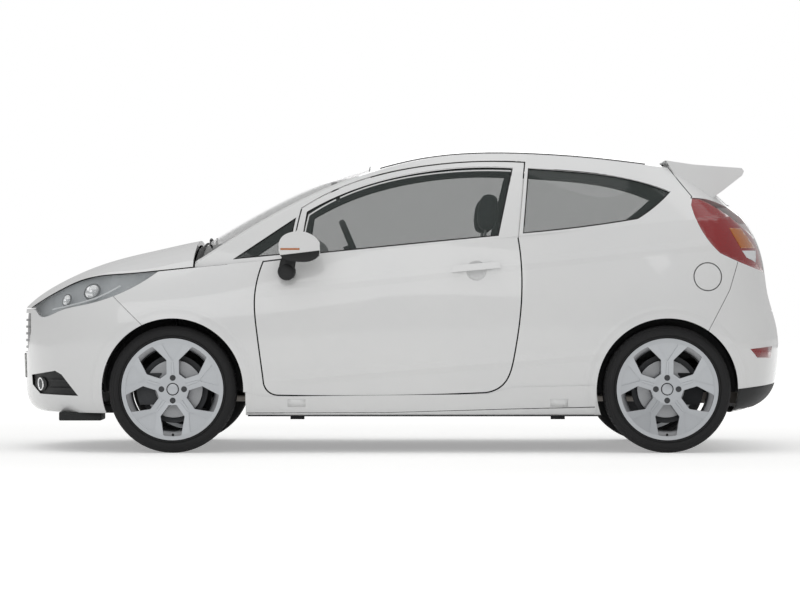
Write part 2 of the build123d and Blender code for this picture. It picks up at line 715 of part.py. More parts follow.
def liner(axle_x, inner_y, seat):
    outer = rod((axle_x, inner_y - 5, TYRE_RADIUS), (axle_x, 900, TYRE_RADIUS), ARCH_RADIUS + 10)
    hollow = rod((axle_x, inner_y, TYRE_RADIUS), (axle_x, 950, TYRE_RADIUS), ARCH_RADIUS + 5)
    shell = (outer - hollow) & lower_body(seat)
    shell = shell - block(axle_x - 600, axle_x + 600, 0, FAR, 0, 300)
    return shell - block(axle_x - 170, axle_x + 170, 0, inner_y + 1, 0, 470)


def steered_tyres():
    """Plain left front tyres, a little too large, at steps towards each lock."""
    low, high = Vector(FRONT_AXLE_X, *KINGPIN_LOW), Vector(FRONT_AXLE_X, *KINGPIN_HIGH)
    half = TYRE_WIDTH / 2 + TYRE_CLEARANCE
    tyre = rod((FRONT_AXLE_X, WHEEL_Y - half, TYRE_RADIUS), (FRONT_AXLE_X, WHEEL_Y + half, TYRE_RADIUS),
               TYRE_RADIUS + TYRE_CLEARANCE)
    return [tyre.rotate(Axis(low, high - low), angle) for angle in STEER_STEPS]


def make_wheel_arch_liners():
    front = liner(FRONT_AXLE_X, 450, BUMPER_SKIN)
    front = front - kingpin_rod(0, 540, 75)
    for tyre in steered_tyres():
        front = front - tyre
    front = largest(front)
    rear = largest(liner(REAR_AXLE_X, 600, DOOR_WALL))
    return Compound(children=[front, mirrored(front), rear, mirrored(rear)])


# Inside
def make_dashboard():
    profile = runs_face([[(742, 640), (742, 930)], [(742, 930), (640, 950), (500, 925), (455, 870)],
                         [(455, 870), (480, 760), (560, 660)], [(560, 660), (742, 640)]])
    dash = Pos(0, -wy(640), 0) * Solid.extrude(profile, Vector(0, wy(1280), 0))
    console = block(lx(-350), lx(600), -90, 90, 330, 480) + block(lx(440), lx(640), -110, 110, 330, hz(760))
    x, y, z = STEERING_WHEEL_CENTRE
    back = Vector(-cos(radians(STEERING_RAKE)), 0, sin(radians(STEERING_RAKE)))
    hub = Vector(lx(x), y, hz(z))
    column = rod(hub - back * 330, hub - back * 60, 38) + rod(hub - back * 100, hub - back * 20, 12)
    return largest(dash + console + column)


def make_steering_wheel():
    x, y, z = STEERING_WHEEL_CENTRE
    plane = Plane(origin=(lx(x), y, hz(z)), x_dir=(0, 1, 0),
                  z_dir=(-cos(radians(STEERING_RAKE)), 0, sin(radians(STEERING_RAKE))))
    rim = Torus(STEERING_WHEEL_RADIUS, 16)
    hub = Pos(0, 0, -20) * Cylinder(62, 50)
    spokes = [Rot(0, 0, angle) * Pos(110, 0, -8) * Box(130, 40, 16) for angle in (0, 180, 270)]
    bore = Pos(0, 0, -40) * Cylinder(12 + RUNNING_GAP, 40)
    return plane * (rim + hub + spokes - bore)


def seat_profile(points, y0, y1):
    return Pos(0, y0, 0) * Solid.extrude(runs_face(points), Vector(0, y1 - y0, 0))


def make_front_seats():
    cushion = [[(230, 480), (250, 420), (200, 350)], [(200, 350), (-280, 300)], [(-280, 300), (-330, 430)],
               [(-330, 430), (-100, 445), (230, 480)]]
    back = [[(-190, 440), (-340, 420)], [(-340, 420), (-500, 1080)], [(-500, 1080), (-380, 1090)],
            [(-380, 1090), (-310, 800), (-190, 440)]]
    head = [[(-415, 1120), (-395, 1320), (-500, 1335), (-525, 1130)], [(-525, 1130), (-415, 1120)]]
    y0, y1 = SEAT_OFFSET - 250, SEAT_OFFSET + 250
    seat = seat_profile(cushion, y0, y1) + seat_profile(back, y0 + 10, y1 - 10)
    seat = seat + seat_profile(head, SEAT_OFFSET - 130, SEAT_OFFSET + 130)
    for y in (SEAT_OFFSET - 60, SEAT_OFFSET + 60):
        seat = seat + rod((lx(-445), y, hz(1060)), (lx(-460), y, hz(1150)), 8)
        seat = seat + block(lx(-260), lx(180), y - 20, y + 20, FLOOR_HEIGHT + FLOOR_THICKNESS, hz(350))
    return pair(seat)


def make_rear_seat():
    sheet = SEAT_PAN_SHEET
    cushion = [[(-640, 500), (-615, 440), (-650, sheet)], [(-650, sheet), (-970, sheet)],
               [(-970, sheet), (-970, 430)], [(-970, 430), (-1130, 430)], [(-1130, 430), (-1100, 500)],
               [(-1100, 500), (-860, 480), (-640, 500)]]
    back = [[(-1010, 480), (-1130, 470)], [(-1130, 470), (-1290, 960)], [(-1290, 960), (-1180, 970)],
            [(-1180, 970), (-1110, 720), (-1010, 480)]]
    return seat_profile(cushion, -wy(575), wy(575)) + seat_profile(back, -wy(575), wy(575))


def make_engine():
    body = block(lx(1120), lx(1480), -330, 330, 330, hz(820))
    body = fillet(body.edges().filter_by(Axis.Z), 30)
    return body + block(lx(1260), lx(1360), -345, 345, RAIL_HEIGHT + 20, RAIL_HEIGHT + 70)


# Running gear
def make_tyre():
    half = TYRE_WIDTH / 2
    bead, lip = RIM_WIDTH / 2 - 16, RIM_WIDTH / 2 - 12
    profile = [
        Edge.make_line((RIM_RADIUS - 8, 0, -bead), (RIM_RADIUS + 1, 0, -lip)),
        Edge.make_line((RIM_RADIUS + 1, 0, -lip), (TYRE_RADIUS - 40, 0, -half)),
        Edge.make_spline([Vector(TYRE_RADIUS - 40, 0, -half), Vector(TYRE_RADIUS - 12, 0, -half + 6),
                          Vector(TYRE_RADIUS, 0, -half + TYRE_SHOULDER)]),
        Edge.make_line((TYRE_RADIUS, 0, -half + TYRE_SHOULDER), (TYRE_RADIUS, 0, half - TYRE_SHOULDER)),
        Edge.make_spline([Vector(TYRE_RADIUS, 0, half - TYRE_SHOULDER),
                          Vector(TYRE_RADIUS - 12, 0, half - 6), Vector(TYRE_RADIUS - 40, 0, half)]),
        Edge.make_line((TYRE_RADIUS - 40, 0, half), (RIM_RADIUS + 1, 0, lip)),
        Edge.make_line((RIM_RADIUS + 1, 0, lip), (RIM_RADIUS - 8, 0, bead)),
        Edge.make_line((RIM_RADIUS - 8, 0, bead), (RIM_RADIUS - 8, 0, -bead)),
    ]
    return revolve(Face(Wire(profile)), Axis.Z)


def polar(radius, angle):
    return (radius * cos(radians(angle)), radius * sin(radians(angle)))


def make_rim():
    half = RIM_WIDTH / 2
    seat = RIM_RADIUS - 8
    barrel = [(seat - RIM_WALL, -half), (RIM_RADIUS, -half), (RIM_RADIUS, -half + 10), (seat, -half + 14),
              (seat, half - 14), (RIM_RADIUS, half - 10), (RIM_RADIUS, half), (seat - RIM_WALL, half)]
    rim = revolve(Face(Wire.make_polygon([Vector(r, 0, z) for r, z in barrel])), Axis.Z)
    front = half - 6
    face = [(0, front - SPOKE_DISH), (HUB_RADIUS, front - SPOKE_DISH), (seat - 6, front),
            (seat - 6, front - SPOKE_FACE), (HUB_RADIUS, front - SPOKE_DISH - SPOKE_FACE - 30), (0, front - SPOKE_DISH - SPOKE_FACE - 30)]
    spider = revolve(Face(Wire.make_polygon([Vector(r, 0, z) for r, z in face])), Axis.Z)
    edge = seat - RIM_WALL
    step = 360 / SPOKE_COUNT
    between = [polar(HUB_RADIUS + 8, step / 2 - 14), polar(150, 12), polar(edge, 25),
               polar(edge + 4, step / 2), polar(edge, step - 25), polar(150, step - 12), polar(HUB_RADIUS + 8, step / 2 + 14)]
    fork = [polar(138, 0), polar(edge, 14), polar(edge + 3, 0), polar(edge, -14)]
    cuts = []
    for index in range(SPOKE_COUNT):
        for outline in (between, fork):
            window = Face(Wire.make_polygon([Vector(x, y, -half) for x, y in outline]))
            window = window.fillet_2d(7, window.vertices())
            cuts.append(Rot(0, 0, index * step) * Solid.extrude(window, Vector(0, 0, RIM_WIDTH)))
    spider = spider - cuts
    back = front - SPOKE_DISH - SPOKE_FACE - 30
    disc_face = back - 16 - DISC_THICKNESS / 2
    disc = Pos(0, 0, disc_face) * Cylinder(DISC_RADIUS, DISC_THICKNESS)
    hub = Pos(0, 0, (back + disc_face) / 2) * Cylinder(HUB_RADIUS, back - disc_face + 4)
    wheel = rim + spider + disc + hub
    bore_top = front - SPOKE_DISH - 20
    bore = Pos(0, 0, bore_top - 100) * Cylinder(HUB_BORE_RADIUS, 200)
    return wheel - bore


def disc_y():
    """Distance of the brake disc's middle from the wheel's centre plane, outward."""
    return RIM_WIDTH / 2 - 6 - SPOKE_DISH - SPOKE_FACE - 30 - 16 - DISC_THICKNESS / 2


def spindle_reach():
    return RIM_WIDTH / 2 - 6 - SPOKE_DISH - 20


def to_wheel(axle_x, side):
    """Wheel frame to car frame: the wheel's +Z points outward and one spoke straight up."""
    return Location(Plane(origin=(axle_x, side * WHEEL_Y, TYRE_RADIUS), x_dir=(0, 0, 1), z_dir=(0, side, 0)))


def caliper(axle_x, direction):
    """Left-side brake caliper round the disc, ahead of (+1) or behind (-1) the axle."""
    y = WHEEL_Y + disc_y()
    ring = rod((axle_x, y - 42, TYRE_RADIUS), (axle_x, y + 28, TYRE_RADIUS), DISC_RADIUS + 42)
    ring = ring - rod((axle_x, y - 80, TYRE_RADIUS), (axle_x, y + 80, TYRE_RADIUS), DISC_RADIUS - 52)
    half = DISC_THICKNESS / 2 + 6
    slot = rod((axle_x, y - half, TYRE_RADIUS), (axle_x, y + half, TYRE_RADIUS), DISC_RADIUS + 8)
    x0, x1 = sorted((axle_x + direction * 60, axle_x + direction * 300))
    return (ring - slot) & block(x0, x1, 0, FAR, TYRE_RADIUS - 80, TYRE_RADIUS + 80)


def make_front_knuckle():
    y_face = WHEEL_Y + disc_y() - DISC_THICKNESS / 2
    carrier = rod((FRONT_AXLE_X, y_face - 60, TYRE_RADIUS), (FRONT_AXLE_X, y_face - 8, TYRE_RADIUS), 62)
    tip = WHEEL_Y + spindle_reach() - 6
    spindle = rod((FRONT_AXLE_X, y_face - 30, TYRE_RADIUS), (FRONT_AXLE_X, tip, TYRE_RADIUS),
                  HUB_BORE_RADIUS - RUNNING_GAP)
    strut = kingpin_rod(190, 420, TUBE_RADIUS) + kingpin_rod(400, 546, STRUT_ROD_RADIUS)
    bracket = block(FRONT_AXLE_X - 30, FRONT_AXLE_X + 30, y_face - 66, y_face - 20,
                    TYRE_RADIUS - 90, TYRE_RADIUS + 130)
    holder = block(FRONT_AXLE_X, FRONT_AXLE_X + 130, y_face - 36, y_face - 12,
                   TYRE_RADIUS - 45, TYRE_RADIUS + 45)
    ball = kingpin_rod(20, 80, 16)
    knuckle = carrier + spindle + strut + bracket + holder + caliper(FRONT_AXLE_X, 1) + ball
    return largest(knuckle)


def make_front_subframe():
    cross = block(FRONT_AXLE_X - 170, FRONT_AXLE_X + 60, -380, 380, 200, 260)
    tip = KINGPIN_LOW[0] + ARM_TIP_REACH
    plate = [(-150, 370), (40, 370), (ARM_TIP_HALF, tip), (-ARM_TIP_HALF, tip)]
    plate = Face(Wire.make_polygon([Vector(FRONT_AXLE_X + x, y, 190) for x, y in plate]))
    arm = Solid.extrude(plate, Vector(0, 0, 22))
    posts = block(FRONT_AXLE_X - 170, FRONT_AXLE_X - 110, 345, 380, 200, RAIL_HEIGHT)
    side = arm + posts
    return cross + side + mirrored(side)


def make_rear_axle():
    y_face = WHEEL_Y + disc_y() - DISC_THICKNESS / 2
    beam = rod((REAR_AXLE_X + 210, -520, 330), (REAR_AXLE_X + 210, 520, 330), 40)
    arm = block(REAR_AXLE_X - 60, REAR_AXLE_X + 430, 500, 560, 290, 350)
    bush = rod((REAR_AXLE_X + 420, 470, 330), (REAR_AXLE_X + 420, 590, 330), 36)
    stub = rod((REAR_AXLE_X, 510, TYRE_RADIUS), (REAR_AXLE_X, y_face - 8, TYRE_RADIUS), 55)
    tip = WHEEL_Y + spindle_reach() - 6
    spindle = rod((REAR_AXLE_X, y_face - 30, TYRE_RADIUS), (REAR_AXLE_X, tip, TYRE_RADIUS),
                  HUB_BORE_RADIUS - RUNNING_GAP)
    holder = block(REAR_AXLE_X - 130, REAR_AXLE_X, y_face - 36, y_face - 12,
                   TYRE_RADIUS - 45, TYRE_RADIUS + 45)
    spring = rod((REAR_AXLE_X + 130, 530, 340), (REAR_AXLE_X + 130, 530, 400), 60)
    side = arm + bush + stub + spindle + holder + spring + caliper(REAR_AXLE_X, -1)
    return largest(beam + side + mirrored(side))


def tail_pipe(radius):
    return rod((lx(-1760), -TAIL_PIPE_Y, TAIL_PIPE_Z), (lx(-1955), -TAIL_PIPE_Y, TAIL_PIPE_Z), radius)


def make_exhaust():
    pipe = rod((lx(900), 0, 262), (lx(-1000), 0, 262), 27)
    rear_pipe = rod((lx(-1000), 0, 262), (lx(-1560), 0, 262), 27)
    silencer = block(lx(-1780), lx(-1540), -320, 320, 235, 385)
    hangers = block(lx(-40), lx(40), -8, 8, 270, 305)
    for y in (-180, 180):
        hangers = hangers + block(lx(-1690), lx(-1640), y - 15, y + 15, 380, BOOT_FLOOR_HEIGHT - 20)
    return pipe + rear_pipe + silencer + tail_pipe(TAIL_PIPE_RADIUS) + hangers


def wheel_nodes():
    nodes = {}
    tyre, rim = make_tyre(), make_rim()
    for end, axle_x in (("front", FRONT_AXLE_X), ("rear", REAR_AXLE_X)):
        for name, side in (("left", 1), ("right", -1)):
            place = to_wheel(axle_x, side)
            nodes[f"{end}_{name}_tyre"] = place * tyre
            nodes[f"{end}_{name}_rim"] = place * rim
    return nodes


def main():
    nodes = {
        "floor_pan": make_floor_pan(),
        "side_panels": make_side_panels(),
        "roof_panel": make_roof_panel(),
        "front_bumper": make_front_bumper(),
        "rear_bumper": make_rear_bumper(),
        "front_wings": make_front_wings(),
        "scuttle_panel": make_scuttle_panel(),
        "windscreen": make_windscreen(),
        "quarter_windows": make_quarter_windows(),
        "headlamps": make_headlamps(),
        "tail_lamps": make_tail_lamps(),
        "grille": make_grille(),
        "fog_lamps": make_fog_lamps(),
        "side_skirts": make_side_skirts(),
        "wheel_arch_liners": make_wheel_arch_liners(),
        "dashboard": make_dashboard(),
        "front_seats": make_front_seats(),
        "rear_seat": make_rear_seat(),
        "engine": make_engine(),
        "front_subframe": make_front_subframe(),
        "rear_axle": make_rear_axle(),
        "exhaust": make_exhaust(),
        "bonnet": make_bonnet(),
        "tailgate": make_tailgate(),
        "rear_window": make_rear_window(),
        "rear_spoiler": make_rear_spoiler(),
        "fuel_flap": make_fuel_flap(),
        "steering_wheel": make_steering_wheel(),
    }
    door, glass, mirror_head, knuckle = make_door(), make_door_glass(), make_mirror(), make_front_knuckle()
    for side, place in (("left", lambda shape: shape), ("right", mirrored)):
        nodes[f"{side}_door"] = place(door)
        nodes[f"{side}_door_glass"] = place(glass)
        nodes[f"{side}_mirror"] = place(mirror_head)
        nodes[f"front_{side}_knuckle"] = place(knuckle)
    nodes.update(wheel_nodes())
    os.makedirs("parts", exist_ok=True)
    for name, shape in nodes.items():
        export_step(shape, f"parts/{name}.step")


main()
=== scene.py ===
# %% [markdown]
# This lesson dresses a three-door hot hatchback. The solids come from the CAD model and stay where they
# are. Blender adds what a solid model leaves out: paint, glass, rubber, cloth, tread and small fittings.
# Everything is in metres, with +X to the nose, +Y to the car's left and +Z up.

# %% Load the CAD model
import json
import math

import bmesh
import bpy
from mathutils import Matrix, Vector
from mathutils.bvhtree import BVHTree

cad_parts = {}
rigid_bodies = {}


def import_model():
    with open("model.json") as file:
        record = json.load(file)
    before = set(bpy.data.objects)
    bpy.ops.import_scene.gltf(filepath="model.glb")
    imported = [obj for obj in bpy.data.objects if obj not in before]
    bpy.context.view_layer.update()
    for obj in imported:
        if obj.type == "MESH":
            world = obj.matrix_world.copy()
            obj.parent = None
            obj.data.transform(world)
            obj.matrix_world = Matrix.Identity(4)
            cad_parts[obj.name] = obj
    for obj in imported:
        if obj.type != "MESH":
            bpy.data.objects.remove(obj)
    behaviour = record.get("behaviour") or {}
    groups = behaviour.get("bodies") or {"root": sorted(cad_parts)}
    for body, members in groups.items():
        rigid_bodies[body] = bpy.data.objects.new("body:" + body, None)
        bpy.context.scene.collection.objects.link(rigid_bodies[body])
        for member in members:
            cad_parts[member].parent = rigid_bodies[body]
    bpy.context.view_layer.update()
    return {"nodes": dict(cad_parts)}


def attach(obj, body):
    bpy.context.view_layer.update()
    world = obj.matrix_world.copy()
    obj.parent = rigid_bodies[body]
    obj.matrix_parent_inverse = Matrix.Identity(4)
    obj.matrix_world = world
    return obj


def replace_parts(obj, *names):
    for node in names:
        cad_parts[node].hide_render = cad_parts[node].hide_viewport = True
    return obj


for leftover in list(bpy.data.objects):
    bpy.data.objects.remove(leftover)
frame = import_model()
nodes = frame["nodes"]
SIDES = (("left", 1), ("right", -1))
AXLES = (("front", 1.144), ("rear", -1.345))
WHEEL_Y, WHEEL_Z = 0.7325, 0.320

# %% [markdown]
# A material is a small graph. Two helpers keep the graphs short to write: one turns the hex colour that
# a paint chart or a picture gives into the linear numbers that Blender lights with, and one adds a node
# with its settings and its links in a single line.


# %% Colour and node helpers
def linear(hex_colour):
    channels = [int(hex_colour[i:i + 2], 16) / 255 for i in (1, 3, 5)]
    return [c / 12.92 if c <= 0.04045 else ((c + 0.055) / 1.055) ** 2.4 for c in channels] + [1.0]


def add(tree, kind, inputs, **settings):
    node = tree.nodes.new(kind)
    for name, value in settings.items():
        setattr(node, name, value)
    for name, value in inputs.items():
        if isinstance(value, bpy.types.NodeSocket):
            tree.links.new(value, node.inputs[name])
        else:
            node.inputs[name].default_value = value
    return node


def start_finish(name, **shader_inputs):
    material = bpy.data.materials.new(name)
    material.use_nodes = True
    tree = material.node_tree
    shader = tree.nodes["Principled BSDF"]
    for key, value in shader_inputs.items():
        shader.inputs[key.replace("_", " ")].default_value = value
    where = add(tree, "ShaderNodeTexCoord", {}).outputs["Object"]
    return material, tree, shader, where


def two_tone(tree, shader, factor, low, high):
    ramp = add(tree, "ShaderNodeValToRGB", {"Fac": factor})
    ramp.color_ramp.elements[0].color = linear(low)
    ramp.color_ramp.elements[1].color = linear(high)
    tree.links.new(ramp.outputs["Color"], shader.inputs["Base Color"])


def rough_between(tree, shader, factor, low, high):
    spread = add(tree, "ShaderNodeMapRange", {"Value": factor, "To Min": low, "To Max": high})
    tree.links.new(spread.outputs["Result"], shader.inputs["Roughness"])


def raise_surface(tree, shader, height, strength, distance):
    bump = add(tree, "ShaderNodeBump", {"Height": height, "Strength": strength, "Distance": distance})
    tree.links.new(bump.outputs["Normal"], shader.inputs["Normal"])


finishes = {}
print("helpers ready")

# %% [markdown]
# Car paint is a pigmented coat under clear lacquer. The lacquer gives a sharp reflection over a softer
# one, so the shader's coat is full and smooth. Sprayed lacquer dries with a faint orange peel, a few
# millimetres across. The pressed body sides also have two long creases; they are too shallow for their
# own solids, so they are drawn as ridges in the bump, from straight lines in the side view. A round
# ridge outside each wheel arch gives the arch its lip in the same way.

# %% White sprayed enamel
paint, tree, shader, where = start_finish(
    "white_sprayed_enamel", Coat_Weight=1.0, Coat_Roughness=0.04, Specular_IOR_Level=0.4)
peel = add(tree, "ShaderNodeTexNoise", {"Vector": where, "Scale": 260.0, "Detail": 2.0})
cloud = add(tree, "ShaderNodeTexNoise", {"Vector": where, "Scale": 1.6, "Detail": 3.0})
two_tone(tree, shader, cloud.outputs["Fac"], "#E4E5E6", "#F0F0EF")
rough_between(tree, shader, cloud.outputs["Fac"], 0.28, 0.38)
axes = add(tree, "ShaderNodeSeparateXYZ", {"Vector": where})
ridges = []
for rise, slope, front in ((0.883, -0.105, 0.86), (0.4134, -0.0815, 0.70)):
    line = add(tree, "ShaderNodeMath", {0: axes.outputs["X"], 1: -slope, 2: axes.outputs["Z"]},
               operation="MULTIPLY_ADD")
    away = add(tree, "ShaderNodeMath", {0: line.outputs[0], 1: rise}, operation="SUBTRACT")
    size = add(tree, "ShaderNodeMath", {0: away.outputs[0]}, operation="ABSOLUTE")
    ridge = add(tree, "ShaderNodeMapRange", {"Value": size.outputs[0], "From Max": 0.03, "To Min": 1.0,
                                             "To Max": 0.0})
    fade = add(tree, "ShaderNodeMapRange", {"Value": axes.outputs["X"], "From Min": front - 0.25,
                                            "From Max": front, "To Min": 1.0, "To Max": 0.0})
    both = add(tree, "ShaderNodeMath", {0: ridge.outputs[0], 1: fade.outputs[0]}, operation="MULTIPLY")
    ridges.append(both.outputs[0])
for end, axle in AXLES:
    beside = add(tree, "ShaderNodeVectorMath", {0: where, 1: (1, 0, 1)}, operation="MULTIPLY")
    ring = add(tree, "ShaderNodeVectorMath", {0: beside.outputs[0], 1: (axle, 0, WHEEL_Z)},
               operation="DISTANCE")
    away = add(tree, "ShaderNodeMath", {0: ring.outputs["Value"], 1: 0.402}, operation="SUBTRACT")
    size = add(tree, "ShaderNodeMath", {0: away.outputs[0]}, operation="ABSOLUTE")
    ridge = add(tree, "ShaderNodeMapRange", {"Value": size.outputs[0], "From Max": 0.018, "To Min": 0.8,
                                             "To Max": 0.0})
    ridges.append(ridge.outputs[0])
crease = add(tree, "ShaderNodeMath", {0: ridges[0], 1: ridges[1]}, operation="ADD")
for ridge in ridges[2:]:
    crease = add(tree, "ShaderNodeMath", {0: crease.outputs[0], 1: ridge}, operation="ADD")
height = add(tree, "ShaderNodeMath", {0: peel.outputs["Fac"], 1: 0.006, 2: crease.outputs[0]},
             operation="MULTIPLY_ADD")
raise_surface(tree, shader, height.outputs[0], 0.6, 0.006)
finishes["paint"] = paint
print(paint.name)

# %% [markdown]
# Moulded black plastic has a leather-like grain pressed in by the tool, about a millimetre across. It is
# drawn at a millimetre and a half so that it shows. Gloss black plastic is the same polymer from a
# polished tool, and rubber is duller than both, with a fine dust on it.

# %% Plastics and rubber
def grained(name, low, high, rough, grain, depth):
    material, tree, shader, where = start_finish(name, Specular_IOR_Level=0.4)
    cells = add(tree, "ShaderNodeTexVoronoi", {"Vector": where, "Scale": 1 / grain})
    dust = add(tree, "ShaderNodeTexNoise", {"Vector": where, "Scale": 9.0, "Detail": 5.0})
    two_tone(tree, shader, dust.outputs["Fac"], low, high)
    rough_between(tree, shader, dust.outputs["Fac"], rough - 0.08, rough + 0.08)
    raise_surface(tree, shader, cells.outputs["Distance"], 0.5, depth)
    return material


finishes["black plastic"] = grained("black_grained_polypropylene", "#141516", "#1F2021", 0.55, 0.0015, 0.0004)
finishes["gloss black"] = grained("gloss_black_abs", "#08090A", "#101112", 0.15, 0.004, 0.00003)
finishes["rubber"] = grained("black_rubber_seal", "#0C0C0D", "#161617", 0.62, 0.002, 0.0002)
finishes["tyre"] = grained("tyre_rubber", "#1B1B1C", "#29292A", 0.82, 0.003, 0.0003)
finishes["grey plastic"] = grained("grey_soft_touch_plastic", "#46484B", "#56585B", 0.62, 0.002, 0.0003)
finishes["pale lining"] = grained("pale_moulded_headlining", "#A8A8A4", "#B9B8B4", 0.92, 0.003, 0.0005)
finishes["leather"] = grained("black_stitched_leather", "#161617", "#222223", 0.48, 0.0025, 0.0005)
finishes["plate"] = grained("plain_white_plate", "#D8D9D6", "#E2E2DF", 0.4, 0.003, 0.0001)
finishes["lamp grey"] = grained("pale_lamp_housing", "#A9ACAF", "#B9BCBE", 0.35, 0.004, 0.0001)
finishes["guide"] = grained("white_light_guide", "#DDE0E2", "#EDEFF0", 0.25, 0.004, 0.00005)
finishes["underseal"] = grained("black_sprayed_underseal", "#17181A", "#26272A", 0.75, 0.004, 0.0008)
print(sorted(finishes))

# %% [markdown]
# Metals: the wheels are cast and then painted silver with fine flakes; brake discs are turned and then
# swept by the pads; the uprights and the engine are rough castings; the lamp bowls are plastic with a
# thin bright coat of aluminium.

# %% Metals
def metal(name, low, high, rough, scale, depth, metallic=1.0, coat=0.0):
    material, tree, shader, where = start_finish(
        name, Metallic=metallic, Coat_Weight=coat, Coat_Roughness=0.08)
    grain = add(tree, "ShaderNodeTexNoise", {"Vector": where, "Scale": scale, "Detail": 4.0})
    two_tone(tree, shader, grain.outputs["Fac"], low, high)
    rough_between(tree, shader, grain.outputs["Fac"], rough - 0.07, rough + 0.07)
    raise_surface(tree, shader, grain.outputs["Fac"], 0.4, depth)
    return material


finishes["alloy"] = metal("silver_painted_alloy", "#A9ACB0", "#C3C6C9", 0.33, 900.0, 0.00005, 0.8, 0.7)
finishes["disc"] = metal("swept_brake_disc", "#8A8B8D", "#A3A4A6", 0.34, 420.0, 0.0001)
finishes["casting"] = metal("cast_iron", "#3E3F41", "#57585A", 0.58, 240.0, 0.0012, 0.7)
finishes["aluminium"] = metal("satin_aluminium", "#9EA0A2", "#B4B6B8", 0.38, 300.0, 0.0002)
finishes["bright"] = metal("bright_coated_reflector", "#DCDDDE", "#F0F0F0", 0.1, 60.0, 0.0001)
finishes["exhaust"] = metal("aluminised_steel_pipe", "#77716B", "#98948F", 0.42, 30.0, 0.0004)
finishes["mirror"] = metal("silvered_mirror_glass", "#E6E8E8", "#EEF0F0", 0.08, 20.0, 0.0)
print("metals:", 7)

# %% [markdown]
# Car glass is lightly tinted. A real pane lets light through to the seats, so the shader's alpha is
# low and the surface is smooth. Lamp lenses are clear, amber or red acrylic, with fine moulded ribs.

# %% Glass and lenses
def lens(name, low, high, alpha, ribs=0.0):
    material, tree, shader, where = start_finish(
        name, Alpha=alpha, Roughness=0.03, Coat_Weight=1.0, Coat_Roughness=0.02, IOR=1.5)
    film = add(tree, "ShaderNodeTexNoise", {"Vector": where, "Scale": 2.2, "Detail": 2.0})
    two_tone(tree, shader, film.outputs["Fac"], low, high)
    if ribs:
        wave = add(tree, "ShaderNodeTexWave", {"Vector": where, "Scale": ribs}, bands_direction="Z")
        raise_surface(tree, shader, wave.outputs["Fac"], 0.5, 0.0015)
    return material


finishes["glass"] = lens("tinted_window_glass", "#39423F", "#46504D", 0.30)
finishes["clear"] = lens("clear_polycarbonate_lens", "#C9D0D4", "#DDE2E4", 0.14)
finishes["red"] = lens("red_acrylic_lens", "#86090F", "#A31219", 0.86, 40.0)
finishes["amber"] = lens("amber_acrylic_lens", "#B8620C", "#CC7415", 0.85, 40.0)
print("lenses ready")

# %% [markdown]
# Seat cloth is woven. Two crossed waves give warp and weft; the real thread is under a millimetre, so
# the weave is drawn at three millimetres to show. Carpet is a short pile, all noise.

# %% Cloth and carpet
cloth, tree, shader, where = start_finish(
    "woven_seat_cloth", Roughness=0.95, Specular_IOR_Level=0.2, Sheen_Weight=0.3)
warp = add(tree, "ShaderNodeTexWave", {"Vector": where, "Scale": 105.0}, bands_direction="Y")
weft = add(tree, "ShaderNodeTexWave", {"Vector": where, "Scale": 105.0}, bands_direction="DIAGONAL")
weave = add(tree, "ShaderNodeMath", {0: warp.outputs["Fac"], 1: weft.outputs["Fac"]}, operation="MULTIPLY")
two_tone(tree, shader, weave.outputs[0], "#3A3C40", "#54575C")
raise_surface(tree, shader, weave.outputs[0], 0.6, 0.0008)
finishes["cloth"] = cloth
carpet, tree, shader, where = start_finish(
    "short_pile_carpet", Roughness=1.0, Specular_IOR_Level=0.1, Sheen_Weight=0.2)
pile = add(tree, "ShaderNodeTexNoise", {"Vector": where, "Scale": 420.0, "Detail": 3.0})
two_tone(tree, shader, pile.outputs["Fac"], "#2A2A2C", "#404043")
raise_surface(tree, shader, pile.outputs["Fac"], 0.9, 0.002)
finishes["carpet"] = carpet
print("finishes:", len(finishes))

# %% [markdown]
# Every CAD node that stays in view gets one of these finishes in its material slot. Its mesh and its
# place are left alone.

# %% Finish the CAD nodes
node_finish = {
    "paint": ["side_panels", "roof_panel", "front_bumper", "rear_bumper", "front_wings", "side_skirts",
              "bonnet", "tailgate", "rear_spoiler", "fuel_flap", "left_door", "right_door", "left_mirror",
              "right_mirror"],
    "glass": ["windscreen", "quarter_windows", "rear_window", "left_door_glass", "right_door_glass"],
    "black plastic": ["scuttle_panel", "wheel_arch_liners", "fog_lamps"],
    "gloss black": ["grille"],
    "underseal": ["floor_pan", "front_subframe", "rear_axle"],
    "grey plastic": ["dashboard"],
    "leather": ["steering_wheel"],
    "casting": ["engine", "front_left_knuckle", "front_right_knuckle"],
    "exhaust": ["exhaust"],
    "alloy": [f"{end}_{side}_rim" for end in ("front", "rear") for side in ("left", "right")],
    "tyre": [f"{end}_{side}_tyre" for end in ("front", "rear") for side in ("left", "right")],
    "clear": ["headlamps"],
    "red": ["tail_lamps"],
    "cloth": ["front_seats", "rear_seat"],
}
for finish, names in node_finish.items():
    for name in names:
        nodes[name].data.materials.clear()
        nodes[name].data.materials.append(finishes[finish])
print("nodes finished:", sum(len(names) for names in node_finish.values()))

# %% [markdown]
# A few small helpers make the new pieces. One turns a bmesh into an object that rides on a CAD body. One
# copies chosen faces of a CAD node, which is how linings, lenses and bands fit the body exactly. One
# spins a profile into a round piece.


# %% Piece helpers
def piece(name, bm, finish, body, sharp=40, wall=0.0, offset=-1.0):
    bmesh.ops.remove_doubles(bm, verts=bm.verts, dist=0.00001)
    mesh = bpy.data.meshes.new(name)
    bm.to_mesh(mesh)
    bm.free()
    mesh.materials.append(finishes[finish])
    for face in mesh.polygons:
        face.use_smooth = True
    mesh.set_sharp_from_angle(angle=math.radians(sharp))
    obj = bpy.data.objects.new(name, mesh)
    bpy.context.scene.collection.objects.link(obj)
    if wall:
        thick = obj.modifiers.new("wall", "SOLIDIFY")
        thick.thickness, thick.offset = wall, offset
    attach(obj, body)
    print(name, len(mesh.polygons), "faces")
    return obj


